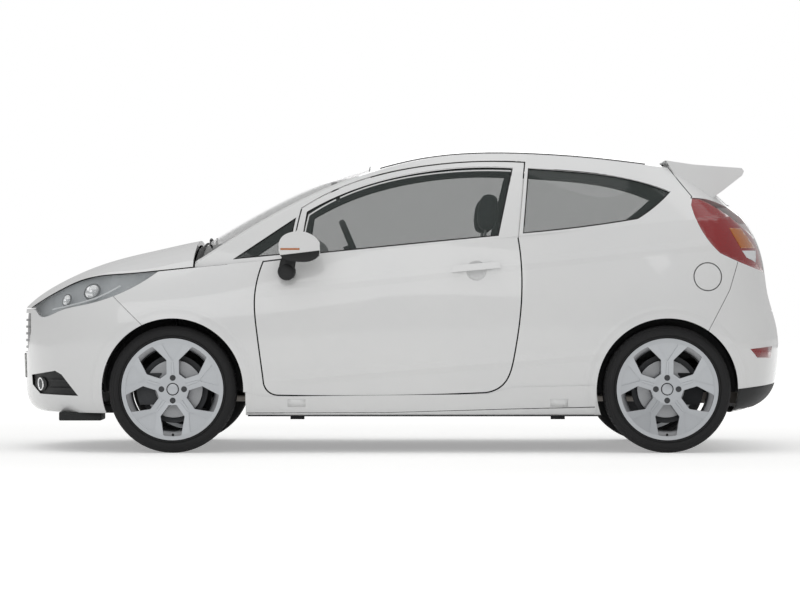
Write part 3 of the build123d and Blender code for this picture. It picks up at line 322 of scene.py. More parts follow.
def node_faces(node, keep):
    bm = bmesh.new()
    bm.from_mesh(nodes[node].data)
    bmesh.ops.remove_doubles(bm, verts=bm.verts, dist=0.00002)
    bm.normal_update()
    drop = [face for face in bm.faces if not keep(face.normal, face.calc_center_median())]
    bmesh.ops.delete(bm, geom=drop, context="FACES")
    return bm


def skin_of(node):
    """Tree of a CAD node's faces, for rays."""
    mesh = nodes[node].data
    return BVHTree.FromPolygons([v.co for v in mesh.vertices], [p.vertices for p in mesh.polygons])


def spun(profile, steps=48, place=Matrix()):
    """Closed or open profile of (radius, height) turned about the local Z axis."""
    bm = bmesh.new()
    ring = [bm.verts.new((radius, 0, height)) for radius, height in profile]
    edges = [bm.edges.new(ends) for ends in zip(ring, ring[1:])]
    bmesh.ops.spin(bm, geom=ring + edges, axis=(0, 0, 1), cent=(0, 0, 0), angle=math.tau, steps=steps,
                   use_merge=True, use_duplicate=False)
    bmesh.ops.remove_doubles(bm, verts=bm.verts, dist=0.00001)
    bmesh.ops.recalc_face_normals(bm, faces=bm.faces)
    bm.transform(place)
    return bm


def facing(centre, normal):
    """Matrix that puts local Z along a normal at a point."""
    turn = Vector(normal).to_track_quat("Z", "Y").to_matrix().to_4x4()
    return Matrix.Translation(centre) @ turn


def joined(*parts):
    whole = bmesh.new()
    for part in parts:
        mesh = bpy.data.meshes.new("part")
        part.to_mesh(mesh)
        part.free()
        whole.from_mesh(mesh)
        bpy.data.meshes.remove(mesh)
    return whole


def slab(low, high, edge=0.004):
    """Block between two corners with rounded edges."""
    bm = bmesh.new()
    bmesh.ops.create_cube(bm, size=1.0)
    low, high = Vector(low), Vector(high)
    bmesh.ops.scale(bm, verts=bm.verts, vec=high - low)
    bmesh.ops.translate(bm, verts=bm.verts, vec=(low + high) / 2)
    bmesh.ops.bevel(bm, geom=bm.edges[:], offset=edge, offset_type="OFFSET", affect="EDGES", segments=3,
                    profile=0.5, material=-1)
    return bm


def bridged(low, high):
    """Closed shape between two loops of the same number of points."""
    bm = bmesh.new()
    rings = [[bm.verts.new(point) for point in loop] for loop in (low, high)]
    for ring in rings:
        bm.faces.new(ring)
    bmesh.ops.bridge_loops(bm, edges=bm.edges[:])
    bmesh.ops.recalc_face_normals(bm, faces=bm.faces)
    return bm


print("piece helpers ready")

# %% [markdown]
# Tyres. The CAD tyre is a plain ring. The dressed one has a rim guard, a ribbed sidewall, four running
# grooves and cut shoulder blocks, all from one profile that is spun and then has some of its shoulder
# faces sunk. It keeps to the ring's outside, so it stands on the same ground.

# %% Tyre profile and tread
tread_half = [(0.3200, 0.0100), (0.3128, 0.0112), (0.3128, 0.0188), (0.3200, 0.0200), (0.3198, 0.0390),
              (0.3125, 0.0405), (0.3125, 0.0485), (0.3198, 0.0500), (0.3196, 0.0830)]
wall_half = [(0.3172, 0.0910), (0.3130, 0.0975), (0.3075, 0.1030), (0.3065, 0.1024), (0.3040, 0.1058),
             (0.2970, 0.1090), (0.2960, 0.1080), (0.2900, 0.1105), (0.2815, 0.1122), (0.2795, 0.1105),
             (0.2720, 0.1075), (0.2690, 0.1015), (0.2660, 0.1045), (0.2610, 0.1040), (0.2585, 0.0960),
             (0.2500, 0.0900)]
half_profile = tread_half + wall_half
tyre_profile = [(r, -z) for r, z in reversed(half_profile)] + half_profile
TYRE_STEPS = 300
wheel_places = {}
for end, axle in AXLES:
    for side, sign in SIDES:
        turn = Matrix(((0, sign, 0, axle), (0, 0, sign, sign * WHEEL_Y), (1, 0, 0, WHEEL_Z), (0, 0, 0, 1)))
        wheel_places[f"{end}_{side}"] = turn
for wheel, place in wheel_places.items():
    bm = spun(tyre_profile, TYRE_STEPS)
    sunk = []
    for face in bm.faces:
        middle = face.calc_center_median()
        step = int((math.atan2(middle.y, middle.x) + math.pi) / math.tau * TYRE_STEPS)
        radius = math.hypot(middle.x, middle.y)
        if radius > 0.3165 and 0.050 < abs(middle.z) < 0.092 and step % 6 == 0:
            sunk.append(face)
        if radius > 0.3165 and 0.020 < abs(middle.z) < 0.040 and step % 6 == 3:
            sunk.append(face)
    bmesh.ops.inset_individual(bm, faces=sunk, thickness=0.0006, depth=-0.0055)
    bm.transform(place)
    tyre = piece(f"{wheel}_tyre_tread", bm, "tyre", f"{wheel}_wheel", 35)
    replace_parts(tyre, f"{wheel}_tyre")

# %% [markdown]
# The wheel's casting. A shallow web fills the fork of each spoke, a rib runs up its middle and the rim has
# a drop centre. They are too fine for the solid wheel, so webs and ribs are bridged between two loops of
# points and the drop centre is spun. A pressed shield behind the brake disc stays with the upright.


# %% Webs, ribs and wells
def spoke_face(radius):
    return 0.074 + 0.022 * (radius - 0.074) / 0.168


def on_spoke(radius, degrees, lift, across=0.0):
    turn = math.radians(degrees)
    return Vector((radius * math.cos(turn), radius * math.sin(turn) + across, spoke_face(radius) + lift))


for wheel, place in wheel_places.items():
    webs, ribs = [], []
    for index in range(5):
        spoke = place @ Matrix.Rotation(math.tau * index / 5, 4, "Z")
        fork = [(0.134, 0), (0.238, 15), (0.240, 0), (0.238, -15)]
        webs.append(bridged([spoke @ on_spoke(r, a, -0.016) for r, a in fork],
                            [spoke @ on_spoke(r, a, -0.008) for r, a in fork]))
        bar = [(0.072, 0.0085), (0.136, 0.0065), (0.136, -0.0065), (0.072, -0.0085)]
        top = [(r, y * 0.7) for r, y in bar]
        ribs.append(bridged([spoke @ on_spoke(r, 0, -0.001, y) for r, y in bar],
                            [spoke @ on_spoke(r, 0, 0.0028, y) for r, y in top]))
    piece(f"{wheel}_spoke_webs", joined(*webs), "alloy", f"{wheel}_wheel", 30)
    piece(f"{wheel}_spoke_ribs", joined(*ribs), "alloy", f"{wheel}_wheel", 30)
    well = spun([(0.2365, 0.0640), (0.2150, 0.0520), (0.2100, 0.0440), (0.2100, -0.0500), (0.2160, -0.0600),
                 (0.2365, -0.0800)], 72, place)
    piece(f"{wheel}_rim_well", well, "disc", f"{wheel}_wheel", 30)
    carrier = f"{wheel.split('_')[1]}_knuckle" if wheel.startswith("front") else "body"
    shield = spun([(0.066, -0.0365), (0.066, -0.0350), (0.150, -0.0350), (0.172, -0.0320), (0.1735, -0.0335),
                   (0.150, -0.0365), (0.066, -0.0365)], 60, place)
    piece(f"{wheel}_brake_shield", shield, "casting", carrier, 30)

# %% [markdown]
# A plain cap closes the hub, four bolts hold the wheel and a rubber valve sits in the rim. These are turned
# parts, so each is a profile spun about its own axis. The disc is one solid with the wheel and can have
# one finish only, so a thin spun ring of swept steel covers its face.

# %% Caps, bolts, valves and discs
for wheel, place in wheel_places.items():
    cap = spun([(0, 0.0812), (0.018, 0.0810), (0.0255, 0.0798), (0.0275, 0.0770), (0.0275, 0.0735),
                (0, 0.0735)], 48, place)
    piece(f"{wheel}_hub_cap", cap, "alloy", f"{wheel}_wheel", 30)
    collar = spun([(0.0275, 0.0735), (0.0275, 0.0752), (0.0300, 0.0756), (0.0318, 0.0750),
                   (0.0318, 0.0735)], 48, place)
    piece(f"{wheel}_cap_collar", collar, "gloss black", f"{wheel}_wheel", 30)
    bolts = []
    for index in range(4):
        around = Matrix.Rotation(math.tau * index / 4, 4, "Z") @ Matrix.Translation((0.057, 0, 0))
        bolts.append(spun([(0, 0.0800), (0.0065, 0.0800), (0.0095, 0.0788), (0.0095, 0.0750),
                           (0.0150, 0.0746), (0.0155, 0.0735), (0, 0.0735)], 12, place @ around))
    piece(f"{wheel}_wheel_bolts", joined(*bolts), "casting", f"{wheel}_wheel", 30)
    stem = place @ Matrix.Rotation(math.radians(180), 4, "Z") @ Matrix.Translation((0.2290, 0, 0))
    valve = spun([(0, 0.0900), (0.0030, 0.0900), (0.0036, 0.0890), (0.0036, 0.0700), (0.0060, 0.0680),
                  (0.0060, 0.0560), (0, 0.0560)], 12, stem)
    piece(f"{wheel}_valve", valve, "rubber", f"{wheel}_wheel", 30)
    swept = spun([(0.0780, -0.0062), (0.0780, -0.0054), (0.0800, -0.0050), (0.1425, -0.0050),
                  (0.1445, -0.0054), (0.1445, -0.0062)], 72, place)
    piece(f"{wheel}_disc_face", swept, "disc", f"{wheel}_wheel", 30)

# %% [markdown]
# Rubber seals run round every pane. The pane's own outer rim gives their path: the edges of the CAD glass
# that turn sharply and touch its outer face become a curve with a round section.


# %% Window seals
def outer_rim(node, outward):
    bm = node_faces(node, lambda normal, middle: True)
    rim = []
    for edge in bm.edges:
        if len(edge.link_faces) == 2 and edge.calc_face_angle() > 0.8:
            if any(face.normal.dot(outward(face.calc_center_median())) > 0.55 for face in edge.link_faces):
                rim.append(edge)
    spare = [edge for edge in bm.edges if edge not in set(rim)]
    bmesh.ops.delete(bm, geom=spare, context="EDGES")
    loose = [vert for vert in bm.verts if not vert.link_edges]
    bmesh.ops.delete(bm, geom=loose, context="VERTS")
    return bm


def round_strip(name, bm, radius, finish, body):
    mesh = bpy.data.meshes.new(name)
    bm.to_mesh(mesh)
    bm.free()
    obj = bpy.data.objects.new(name, mesh)
    bpy.context.scene.collection.objects.link(obj)
    bpy.ops.object.select_all(action="DESELECT")
    obj.select_set(True)
    bpy.context.view_layer.objects.active = obj
    bpy.ops.object.convert(target="CURVE")
    obj.data.bevel_depth = radius
    obj.data.bevel_resolution = 2
    obj.data.use_fill_caps = True
    bpy.ops.object.convert(target="MESH")
    obj.data.materials.clear()
    obj.data.materials.append(finishes[finish])
    for face in obj.data.polygons:
        face.use_smooth = True
    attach(obj, body)
    print(name, len(obj.data.polygons), "faces")
    return obj


def to_side(point):
    return Vector((0, 1 if point.y > 0 else -1, 0.3)).normalized()


up_front = Vector((0.5, 0, 0.86))
up_back = Vector((-0.85, 0, 0.5))
for node, body, outward in (("windscreen", "body", lambda p: up_front),
                            ("quarter_windows", "body", to_side),
                            ("left_door_glass", "left_door", to_side),
                            ("right_door_glass", "right_door", to_side),
                            ("rear_window", "tailgate", lambda p: up_back)):
    round_strip(f"{node}_seal", outer_rim(node, outward), 0.0065, "rubber", body)

# %% [markdown]
# Linings. Seen through the glass, a door is not white steel but a moulded card, the roof has a pale
# lining and the floor is carpeted. Each lining is a copy of the inner faces of its CAD node, a couple of
# millimetres thick.

# %% Door cards, roof lining and carpet
for side, sign in SIDES:
    card = node_faces(f"{side}_door", lambda n, p: n.y * sign < -0.35 and p.y * sign < 0.80 and p.x < 0.60)
    piece(f"{side}_door_card", card, "grey plastic", f"{side}_door", 40, 0.002, 1.0)
side_trim = node_faces("side_panels", lambda n, p: n.y * (1 if p.y > 0 else -1) < -0.35 and p.z > 0.35)
piece("side_trim_lining", side_trim, "grey plastic", "body", 40, 0.002, 1.0)
roof = node_faces("roof_panel", lambda n, p: n.z < -0.5)
piece("roof_lining", roof, "pale lining", "body", 40, 0.002, 1.0)
gate = node_faces("tailgate", lambda n, p: n.x > 0.35 and p.z < 1.38)
piece("tailgate_lining", gate, "grey plastic", "tailgate", 40, 0.002, 1.0)
floor = node_faces("floor_pan", lambda n, p: n.z > 0.9 and -1.85 < p.x < 0.745 and abs(p.y) < 0.75
                   and p.z < 0.5)
piece("floor_carpet", floor, "carpet", "body", 40, 0.004, 1.0)

# %% [markdown]
# Lamps. A lamp is a clear cover over a dark or bright bowl. The CAD lamp is one solid, so its outer faces
# become a thin lens, its back and sides become the housing, and spun bowls stand between them. A ray cast
# from the side finds where the lens is, so each bowl sits squarely behind it.


# %% Lamp housings and lenses
def head_cover(n, p):
    return n.y * (0.7 if p.y > 0 else -0.7) + n.x * 0.6 + n.z * 0.2 > 0.3


def tail_cover(n, p):
    return n.y * (0.6 if p.y > 0 else -0.6) - n.x * 0.8 + n.z * 0.9 > 0.3


for node, cover, bowl, outer in (("headlamps", "clear", "lamp grey", head_cover),
                                 ("tail_lamps", "red", "bright", tail_cover)):
    shell = piece(f"{node}_lens", node_faces(node, outer), cover, "body", 40, 0.003, -1.0)
    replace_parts(shell, node)
    back = node_faces(node, lambda n, p: not outer(n, p))
    piece(f"{node}_housing", back, bowl, "body", 40, 0.001, -1.0)


def on_node(node, x, z, side):
    """Point and normal where a ray from the side meets a CAD node."""
    skin = skin_of(node)
    hit = skin.ray_cast(Vector((x, side * 2.0, z)), Vector((0, -side, 0)))
    return hit[0], hit[1]


# %% [markdown]
# Behind its cover, a lamp has a bright bowl that throws the light out and a bulb in the middle. Both are
# round, so one profile each is spun and scaled for every spot. The head lamps also get dark rings and a
# white light guide, a tube that follows the lens a centimetre below it.

# %% Lamp bowls
bowl_profile = [(0, 0.000), (0.45, 0.06), (0.8, 0.28), (1.0, 0.62), (1.06, 0.62), (1.06, 0.56), (0.85, 0.22),
                (0.45, 0.0), (0, -0.06)]
head_spots = [(1.697, 0.772, 0.026), (1.560, 0.818, 0.037)]
bulb_profile = [(0, 0.42), (0.18, 0.40), (0.26, 0.30), (0.26, 0.05), (0, 0.05)]
for node, spots, finish, glow in (
        ("headlamps", head_spots, "bright", "clear"),
        ("tail_lamps", [(-1.63, 1.10, 0.046), (-1.72, 1.035, 0.040)], "bright", "red")):
    for side, sign in SIDES:
        bowls, bulbs = [], []
        for x, z, size in spots:
            point, normal = on_node(node, x, z, sign)
            place = facing(point - normal * (size * 0.75 + 0.006), normal) @ Matrix.Scale(size, 4)
            bowls.append(spun(bowl_profile, 40, place))
            bulbs.append(spun(bulb_profile, 24, place))
        piece(f"{side}_{node}_bowls", joined(*bowls), finish, "body", 60)
        piece(f"{side}_{node}_bulbs", joined(*bulbs), glow, "body", 40)
for side, sign in SIDES:
    rings = []
    for x, z, size in head_spots:
        point, normal = on_node("headlamps", x, z, sign)
        place = facing(point - normal * (size * 0.15 + 0.008), normal) @ Matrix.Scale(size, 4)
        rings.append(spun([(1.02, 0.0), (1.02, 0.10), (1.26, 0.06), (1.28, -0.06), (1.02, 0.0)], 40, place))
    piece(f"{side}_headlamp_bezels", joined(*rings), "gloss black", "body", 40)
    guide = bmesh.new()
    chain = []
    for x, z in ((1.775, 0.722), (1.700, 0.738), (1.620, 0.757), (1.540, 0.780), (1.470, 0.812),
                 (1.410, 0.845)):
        point, normal = on_node("headlamps", x, z, sign)
        chain.append(guide.verts.new(point - normal * 0.010))
    for ends in zip(chain, chain[1:]):
        guide.edges.new(ends)
    round_strip(f"{side}_headlamp_guide", guide, 0.005, "guide", "body")
    point, normal = on_node("fog_lamps", 1.838, 0.340, sign)
    place = facing(point - normal * 0.001, normal)
    ring = spun([(0.026, 0.001), (0.027, 0.004), (0.033, 0.004), (0.034, 0.0), (0.030, -0.002)], 40, place)
    piece(f"{side}_fog_ring", ring, "bright", "body", 40)
    glass = spun([(0, 0.0045), (0.014, 0.004), (0.0265, 0.0015), (0.0265, 0.0005), (0, 0.0005)], 40, place)
    piece(f"{side}_fog_lens", glass, "clear", "body", 40)

# %% [markdown]
# Outside fittings. The mirror shells have a silvered glass, a black lower half and an amber repeater. A
# black moulding follows each side of the roof, and blank plates sit on the bumper and the tailgate. Where
# a fitting follows the body, it is cut from the faces of the CAD node that carries it.


# %% Mirrors and roof mouldings
def below(bm, point, normal):
    """Keeps the part of a bmesh on the back side of a plane."""
    bmesh.ops.bisect_plane(bm, geom=bm.verts[:] + bm.edges[:] + bm.faces[:], dist=0.000001, plane_co=point,
                           plane_no=normal, clear_outer=True)
    return bm


for side, sign in SIDES:
    pane = node_faces(f"{side}_mirror", lambda n, p: n.x < -0.8 and abs(p.y) > 0.862 and p.z > 0.99)
    bmesh.ops.inset_region(pane, faces=pane.faces[:], thickness=0.007, use_boundary=True)
    rim = [face for face in pane.faces if any(edge.is_boundary for edge in face.edges)]
    bmesh.ops.delete(pane, geom=rim, context="FACES")
    piece(f"{side}_mirror_glass", pane, "mirror", f"{side}_door", 30, 0.001, 1.0)
    lower = below(node_faces(f"{side}_mirror", lambda n, p: n.x > -0.8), (0.5, 0, 1.004), (0.12, 0, 1))
    piece(f"{side}_mirror_base", lower, "black plastic", f"{side}_door", 30, 0.0012, 1.0)
    foot = spun([(0, 0.066), (0.028, 0.064), (0.040, 0.058), (0.045, 0.046), (0.045, 0.0), (0, 0.0)], 40,
                facing(Vector((0.568, sign * 0.846, 0.912)), Vector((0, sign, 0))))
    piece(f"{side}_mirror_foot", foot, "black plastic", f"{side}_door", 50)
    point, normal = on_node(f"{side}_mirror", 0.53, 1.045, sign)
    lamp = slab((0.500, sign * (abs(point.y) - 0.004), 1.018),
                (0.596, sign * (abs(point.y) + 0.002), 1.028), 0.002)
    bmesh.ops.recalc_face_normals(lamp, faces=lamp.faces)
    piece(f"{side}_mirror_repeater", lamp, "amber", f"{side}_door", 30)
moulding = outer_rim("roof_panel", lambda p: Vector((0, 0, 1)))
ends = []
for edge in moulding.edges:
    along = (edge.verts[0].co - edge.verts[1].co).normalized()
    if abs(along.x) < 0.85 or not -1.33 < edge.verts[0].co.x < 0.135:
        ends.append(edge)
bmesh.ops.delete(moulding, geom=ends, context="EDGES")
bmesh.ops.delete(moulding, geom=[vert for vert in moulding.verts if not vert.link_edges], context="VERTS")
round_strip("roof_mouldings", moulding, 0.0035, "rubber", "body")

# %% [markdown]
# The lower edges of a bumper are bare black plastic, where stones would chip paint. The rear band is cut
# from the bumper's own faces with a sloping plane, so that it fits. The chin deflectors are plain blocks,
# and the end of the tail pipe is a spun ring whose bore is closed by a black disc: soot and painted shade
# inside the pipe.

# %% Rear valance, chin deflectors and tail pipe
valance = node_faces("rear_bumper", lambda n, p: n.x < 0.25 and n.z > -0.9)
valance = below(valance, (-1.94, 0, 0.345), (0.10, 0, 1))
outer = [face for face in valance.faces if face.normal.dot(Vector((face.calc_center_median().x + 1.3,
         face.calc_center_median().y, 0))) < 0 and face.normal.x > 0.2]
bmesh.ops.delete(valance, geom=outer, context="FACES")
piece("rear_valance", valance, "black plastic", "body", 40, 0.0015, 1.0)
for side, sign in SIDES:
    spat = slab((1.513, sign * 0.46, 0.158), (1.728, sign * 0.70, 0.202), 0.006)
    bmesh.ops.recalc_face_normals(spat, faces=spat.faces)
    piece(f"{side}_chin_deflector", spat, "black plastic", "body", 30)
tip = facing(Vector((-1.955, -0.25, 0.30)), Vector((-1, 0, 0)))
ring = spun([(0.036, -0.060), (0.036, 0.000), (0.0375, 0.003), (0.042, 0.004), (0.0445, 0.002),
             (0.0448, -0.001), (0.0448, -0.090), (0.0425, -0.090), (0.0425, -0.060), (0.036, -0.060)],
            48, tip)
piece("tail_pipe_trim", ring, "aluminium", "body", 30)
# A black disc in the pipe's mouth: soot, and painted shade of the hollow bore behind it.
soot_and_shade_disc = spun([(0, 0.0005), (0.0362, 0.0005), (0.0362, -0.0005), (0, -0.0005)], 32, tip)
piece("tail_pipe_bore", soot_and_shade_disc, "black plastic", "body", 30)

# %% [markdown]
# Reflectors, a black strip that paints the shade along the foot of each sill, and jack covers are thin and
# follow the curved side. A flat outline would float or sink, so each is cut into strips and its points are
# dropped onto the CAD skin with rays. The two small lenses in a tail lamp are cut straight from the faces of
# the lamp.

# %% Rear reflectors and the painted sill shade strip
def draped(node, outline, side, lift, step=0.03):
    """Flat outline of (x, z) points laid on the side of a CAD node."""
    bm = bmesh.new()
    bm.faces.new([bm.verts.new((x, 0, z)) for x, z in outline])
    low, high = min(x for x, z in outline), max(x for x, z in outline)
    for index in range(1, int((high - low) / step)):
        bmesh.ops.bisect_plane(bm, geom=bm.verts[:] + bm.edges[:] + bm.faces[:], dist=0.000001,
                               plane_co=(low + index * step, 0, 0), plane_no=(1, 0, 0))
    skin = skin_of(node)
    for vert in bm.verts:
        hit = skin.ray_cast(Vector((vert.co.x, side * 2.0, vert.co.z)), Vector((0, -side, 0)))
        if hit[0] is None:
            hit = skin.find_nearest(Vector((vert.co.x, side * 0.8, vert.co.z)))
        vert.co = hit[0] + hit[1] * lift
    bm.normal_update()
    if sum(face.normal.y for face in bm.faces) * side < 0:
        bmesh.ops.reverse_faces(bm, faces=bm.faces[:])
    return bm


for side, sign in SIDES:
    glow = draped("rear_bumper", [(-1.765, 0.522), (-1.803, 0.479), (-1.880, 0.477), (-1.890, 0.534)],
                  sign, 0.002)
    piece(f"{side}_rear_reflector", glow, "red", "body", 40, 0.003, -1.0)
    for name, outline, finish in (
            ("reversing_lens", [(-1.728, 1.018), (-1.752, 0.984), (-1.806, 0.960), (-1.812, 1.020)], "guide"),
            ("rear_turn_lens", [(-1.664, 1.132), (-1.722, 1.030), (-1.808, 1.034), (-1.730, 1.132)],
             "amber")):
        insert = node_faces("tail_lamps", lambda n, p: tail_cover(n, p) and p.y * sign > 0)
        middle = Vector((sum(x for x, z in outline) / 4, 0, sum(z for x, z in outline) / 4))
        for (x0, z0), (x1, z1) in zip(outline, outline[1:] + outline[:1]):
            normal = Vector((z1 - z0, 0, x0 - x1))
            edge = Vector((x0, 0, z0))
            below(insert, edge, normal if normal.dot(edge - middle) > 0 else -normal)
        piece(f"{side}_{name}", insert, finish, "body", 40, 0.0015, 1.0)
    # A black plastic strip along the foot of the sill: painted shade, where the sill's lower edge falls into
    # shadow.
    sill_shade_wedge = draped("side_skirts", [(0.770, 0.191), (-0.980, 0.191), (-0.980, 0.232), (-0.55, 0.222),
                                   (0.05, 0.204), (0.770, 0.202)], sign, 0.0012, 0.06)
    piece(f"{side}_painted_sill_shade_strip", sill_shade_wedge, "black plastic", "body", 40, 0.002, -1.0)
    for spot in (0.52, -0.80):
        flap = draped("side_skirts", [(spot - 0.045, 0.232), (spot + 0.045, 0.232), (spot + 0.045, 0.272),
                                      (spot - 0.045, 0.272)], sign, 0.0008)
        piece(f"{side}_jack_cover_{'front' if spot > 0 else 'rear'}", flap, "paint", "body", 40, 0.0015, -1.0)

# %% [markdown]
# Plates bend to the bumper when they are screwed on. Each is a rectangle cut from the skin that it lies on,
# thickened and left blank, with a slightly larger black holder under it.

# %% Blank plates
def patch(node, side, low, high):
    """Part of a CAD node's front (+1) or rear (-1) skin between two heights, as wide as a plate."""
    bm = node_faces(node, lambda n, p: n.x * side > 0.5 and abs(p.y) < 0.6 and low - 0.3 < p.z < high + 0.3)
    for point, normal in (((0, 0, high), (0, 0, 1)), ((0, 0, low), (0, 0, -1)), ((0, 0.262, 0), (0, 1, 0)),
                          ((0, -0.262, 0), (0, -1, 0))):
        below(bm, point, normal)
    return bm


for name, node, side, low, high, body in (("front", "front_bumper", 1, 0.372, 0.488, "body"),
                                          ("rear", "tailgate", -1, 0.832, 0.948, "tailgate")):
    holder = patch(node, side, low - 0.004, high + 0.004)
    piece(f"{name}_plate_holder", holder, "black plastic", body, 30, 0.003, 1.0)
    piece(f"{name}_blank_plate", patch(node, side, low, high), "plate", body, 30, 0.005, 1.0)

# %% [markdown]
# Wipers. Each is an arm and a blade that lie on the glass. Points along the blade are dropped onto the
# windscreen with a ray from above, and a curve with a round section runs through them.


# %% Wipers
def dropped(node, points, lift):
    skin = skin_of(node)
    result = []
    for x, y in points:
        hit = skin.ray_cast(Vector((x, y, 3.0)), Vector((0, 0, -1)))
        result.append(hit[0] + hit[1] * lift)
    return result


def path(points):
    bm = bmesh.new()
    chain = [bm.verts.new(point) for point in points]
    for ends in zip(chain, chain[1:]):
        bm.edges.new(ends)
    return bm


left_blade = [(0.986, -0.02), (0.984, 0.14), (0.980, 0.28), (0.974, 0.40), (0.966, 0.50)]
right_blade = [(0.986, -0.56), (0.984, -0.44), (0.980, -0.32), (0.974, -0.20), (0.966, -0.10)]
for name, blade in (("left", left_blade), ("right", right_blade)):
    line = dropped("windscreen", blade, 0.006)
    round_strip(f"{name}_wiper_blade", path(line), 0.005, "rubber", "body")
    foot = Vector((1.002, line[0].y - 0.03, line[0].z - 0.006))
    arm = [foot, line[0] + Vector((0, 0.03, 0.004)), line[1] + Vector((0, 0, 0.007)),
           line[2] + Vector((0, 0, 0.006))]
    round_strip(f"{name}_wiper_arm", path(arm), 0.0055, "black plastic", "body")

# %% [markdown]
# Seats are foam under cloth. A block is rounded, remeshed, and then blown up a little with cloth simulation,
# so that the cover bulges between its corners. Seams are pressed in after that. The right seat is a mirror
# copy of the left.


# %% Foam helper
def foam(name, low, high, voxel=0.012, frames=14, cap=0.010):
    bm = slab(low, high, min((high[i] - low[i]) for i in range(3)) * 0.32)
    bmesh.ops.recalc_face_normals(bm, faces=bm.faces)
    mesh = bpy.data.meshes.new(name)
    bm.to_mesh(mesh)
    bm.free()
    obj = bpy.data.objects.new(name, mesh)
    bpy.context.scene.collection.objects.link(obj)
    bpy.context.view_layer.objects.active = obj
    mesh.remesh_voxel_size = voxel
    bpy.ops.object.select_all(action="DESELECT")
    obj.select_set(True)
    bpy.ops.object.voxel_remesh()
    rest = [v.co.copy() for v in obj.data.vertices]
    puff = obj.modifiers.new("puff", "CLOTH")
    puff.settings.use_pressure = True
    puff.settings.uniform_pressure_force = 4.0
    puff.settings.effector_weights.gravity = 0.0
    for step in range(1, frames + 1):
        bpy.context.scene.frame_set(step)
    shape = obj.evaluated_get(bpy.context.evaluated_depsgraph_get()).data
    moved = [v.co.copy() for v in shape.vertices]
    obj.modifiers.remove(puff)
    bpy.context.scene.frame_set(1)
    for vert, before, after in zip(obj.data.vertices, rest, moved):
        step = after - before
        vert.co = before + step * min(1.0, cap / max(step.length, 1e-9))
    print(name, len(obj.data.vertices), "points")
    return obj


def press_seams(obj, lines, axis, depth=0.006, width=0.010):
    """Sinks points near planes across an axis towards the middle of the piece, like a sewn seam."""
    centre = sum((v.co for v in obj.data.vertices), Vector()) / len(obj.data.vertices)
    for vert in obj.data.vertices:
        gap = min(abs(vert.co[axis] - line) for line in lines)
        if gap < width * 2:
            inward = centre - vert.co
            inward[axis] = 0
            vert.co += inward.normalized() * depth * math.exp(-(gap / width) ** 2)


def upholster(obj, node):
    bm = bmesh.new()
    bm.from_mesh(obj.data)
    bmesh.ops.smooth_vert(bm, verts=bm.verts, factor=0.5, use_axis_x=True, use_axis_y=True, use_axis_z=True)
    bm.to_mesh(obj.data)
    bm.free()
    for face in obj.data.polygons:
        face.use_smooth = True
    obj.data.materials.clear()
    obj.data.materials.append(finishes["cloth"])
    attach(obj, "body")
    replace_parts(obj, node)
    return obj


def leaned(obj, pivot, degrees):
    """Turns the mesh about a line across the car, so the object itself stays unturned."""
    centre = Matrix.Translation((pivot[0], 0, pivot[1]))
    obj.data.transform(centre @ Matrix.Rotation(math.radians(degrees), 4, "Y") @ centre.inverted())


def mirror_copy(obj, name, node):
    copy = bpy.data.objects.new(name, obj.data.copy())
    bpy.context.scene.collection.objects.link(copy)
    copy.data.transform(Matrix.Scale(-1, 4, (0, 1, 0)))
    copy.data.flip_normals()
    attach(copy, "body")
    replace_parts(copy, node)
    return copy


# %% [markdown]
# A front seat is a cushion, a back and a headrest on two stays, on a pair of rails. Each foam block is made
# upright and seamed, and only then leaned back, because seams are easier to place square to the axes.

# %% Front seats
front_parts = {
    "cushion": foam("left_seat_cushion", (-0.300, 0.135, 0.310), (0.225, 0.605, 0.440)),
    "back": foam("left_seat_back", (-0.400, 0.145, 0.440), (-0.265, 0.595, 1.075)),
    "headrest": foam("left_seat_headrest", (-0.470, 0.255, 1.130), (-0.385, 0.485, 1.310), voxel=0.009),
}
press_seams(front_parts["cushion"], (0.205, 0.535), 1)
press_seams(front_parts["cushion"], (0.06, -0.10), 0)
press_seams(front_parts["back"], (0.210, 0.530), 1)
press_seams(front_parts["back"], (0.62, 0.80, 0.95), 2)
leaned(front_parts["cushion"], (0.0, 0.38), -3.5)
leaned(front_parts["back"], (-0.300, 0.440), -12.5)
leaned(front_parts["headrest"], (-0.43, 1.22), -6.0)
front_parts["headrest"].data.transform(Matrix.Translation((-0.025, 0, 0.0)))
for part, obj in front_parts.items():
    upholster(obj, "front_seats")
    mirror_copy(obj, f"right_seat_{part}", "front_seats")
for side, sign in SIDES:
    rails = [slab((-0.26, sign * 0.37 - 0.17, 0.207), (0.18, sign * 0.37 - 0.13, 0.316), 0.004),
             slab((-0.26, sign * 0.37 + 0.13, 0.207), (0.18, sign * 0.37 + 0.17, 0.316), 0.004)]
    feet = [Vector((-0.432, sign * 0.37 + y, 1.050)) for y in (-0.06, 0.06)]
    stays = [spun([(0, 0), (0.006, 0), (0.006, 0.10), (0, 0.10)], 16, facing(foot, Vector((-0.12, 0, 1))))
             for foot in feet]
    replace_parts(piece(f"{side}_seat_rails", joined(*rails), "underseal", "body", 30), "front_seats")
    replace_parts(piece(f"{side}_headrest_stays", joined(*stays), "aluminium", "body", 30), "front_seats")

# %% [markdown]
# The rear seat is a bench with one wide cushion and one leaned back. Two seams mark the middle place and
# two more cross the back.

# %% Rear seat
rear_cushion = foam("rear_seat_cushion", (-1.075, -0.560, 0.384), (-0.635, 0.560, 0.485), voxel=0.014)
press_seams(rear_cushion, (-0.19, 0.19), 1)
rear_back = foam("rear_seat_back", (-1.140, -0.560, 0.490), (-1.040, 0.560, 0.955), voxel=0.014)
press_seams(rear_back, (-0.19, 0.19), 1)
press_seams(rear_back, (0.66, 0.82), 2)
leaned(rear_back, (-1.09, 0.48), -17.0)
for obj in (rear_cushion, rear_back):
    upholster(obj, "rear_seat")

# %% [markdown]
# The cabin's small things: door armrests and speakers, an instrument hood with two dials, a plain screen,
# air vents, levers, pedals and the parcel shelf. They show through the glass and when a door is open.


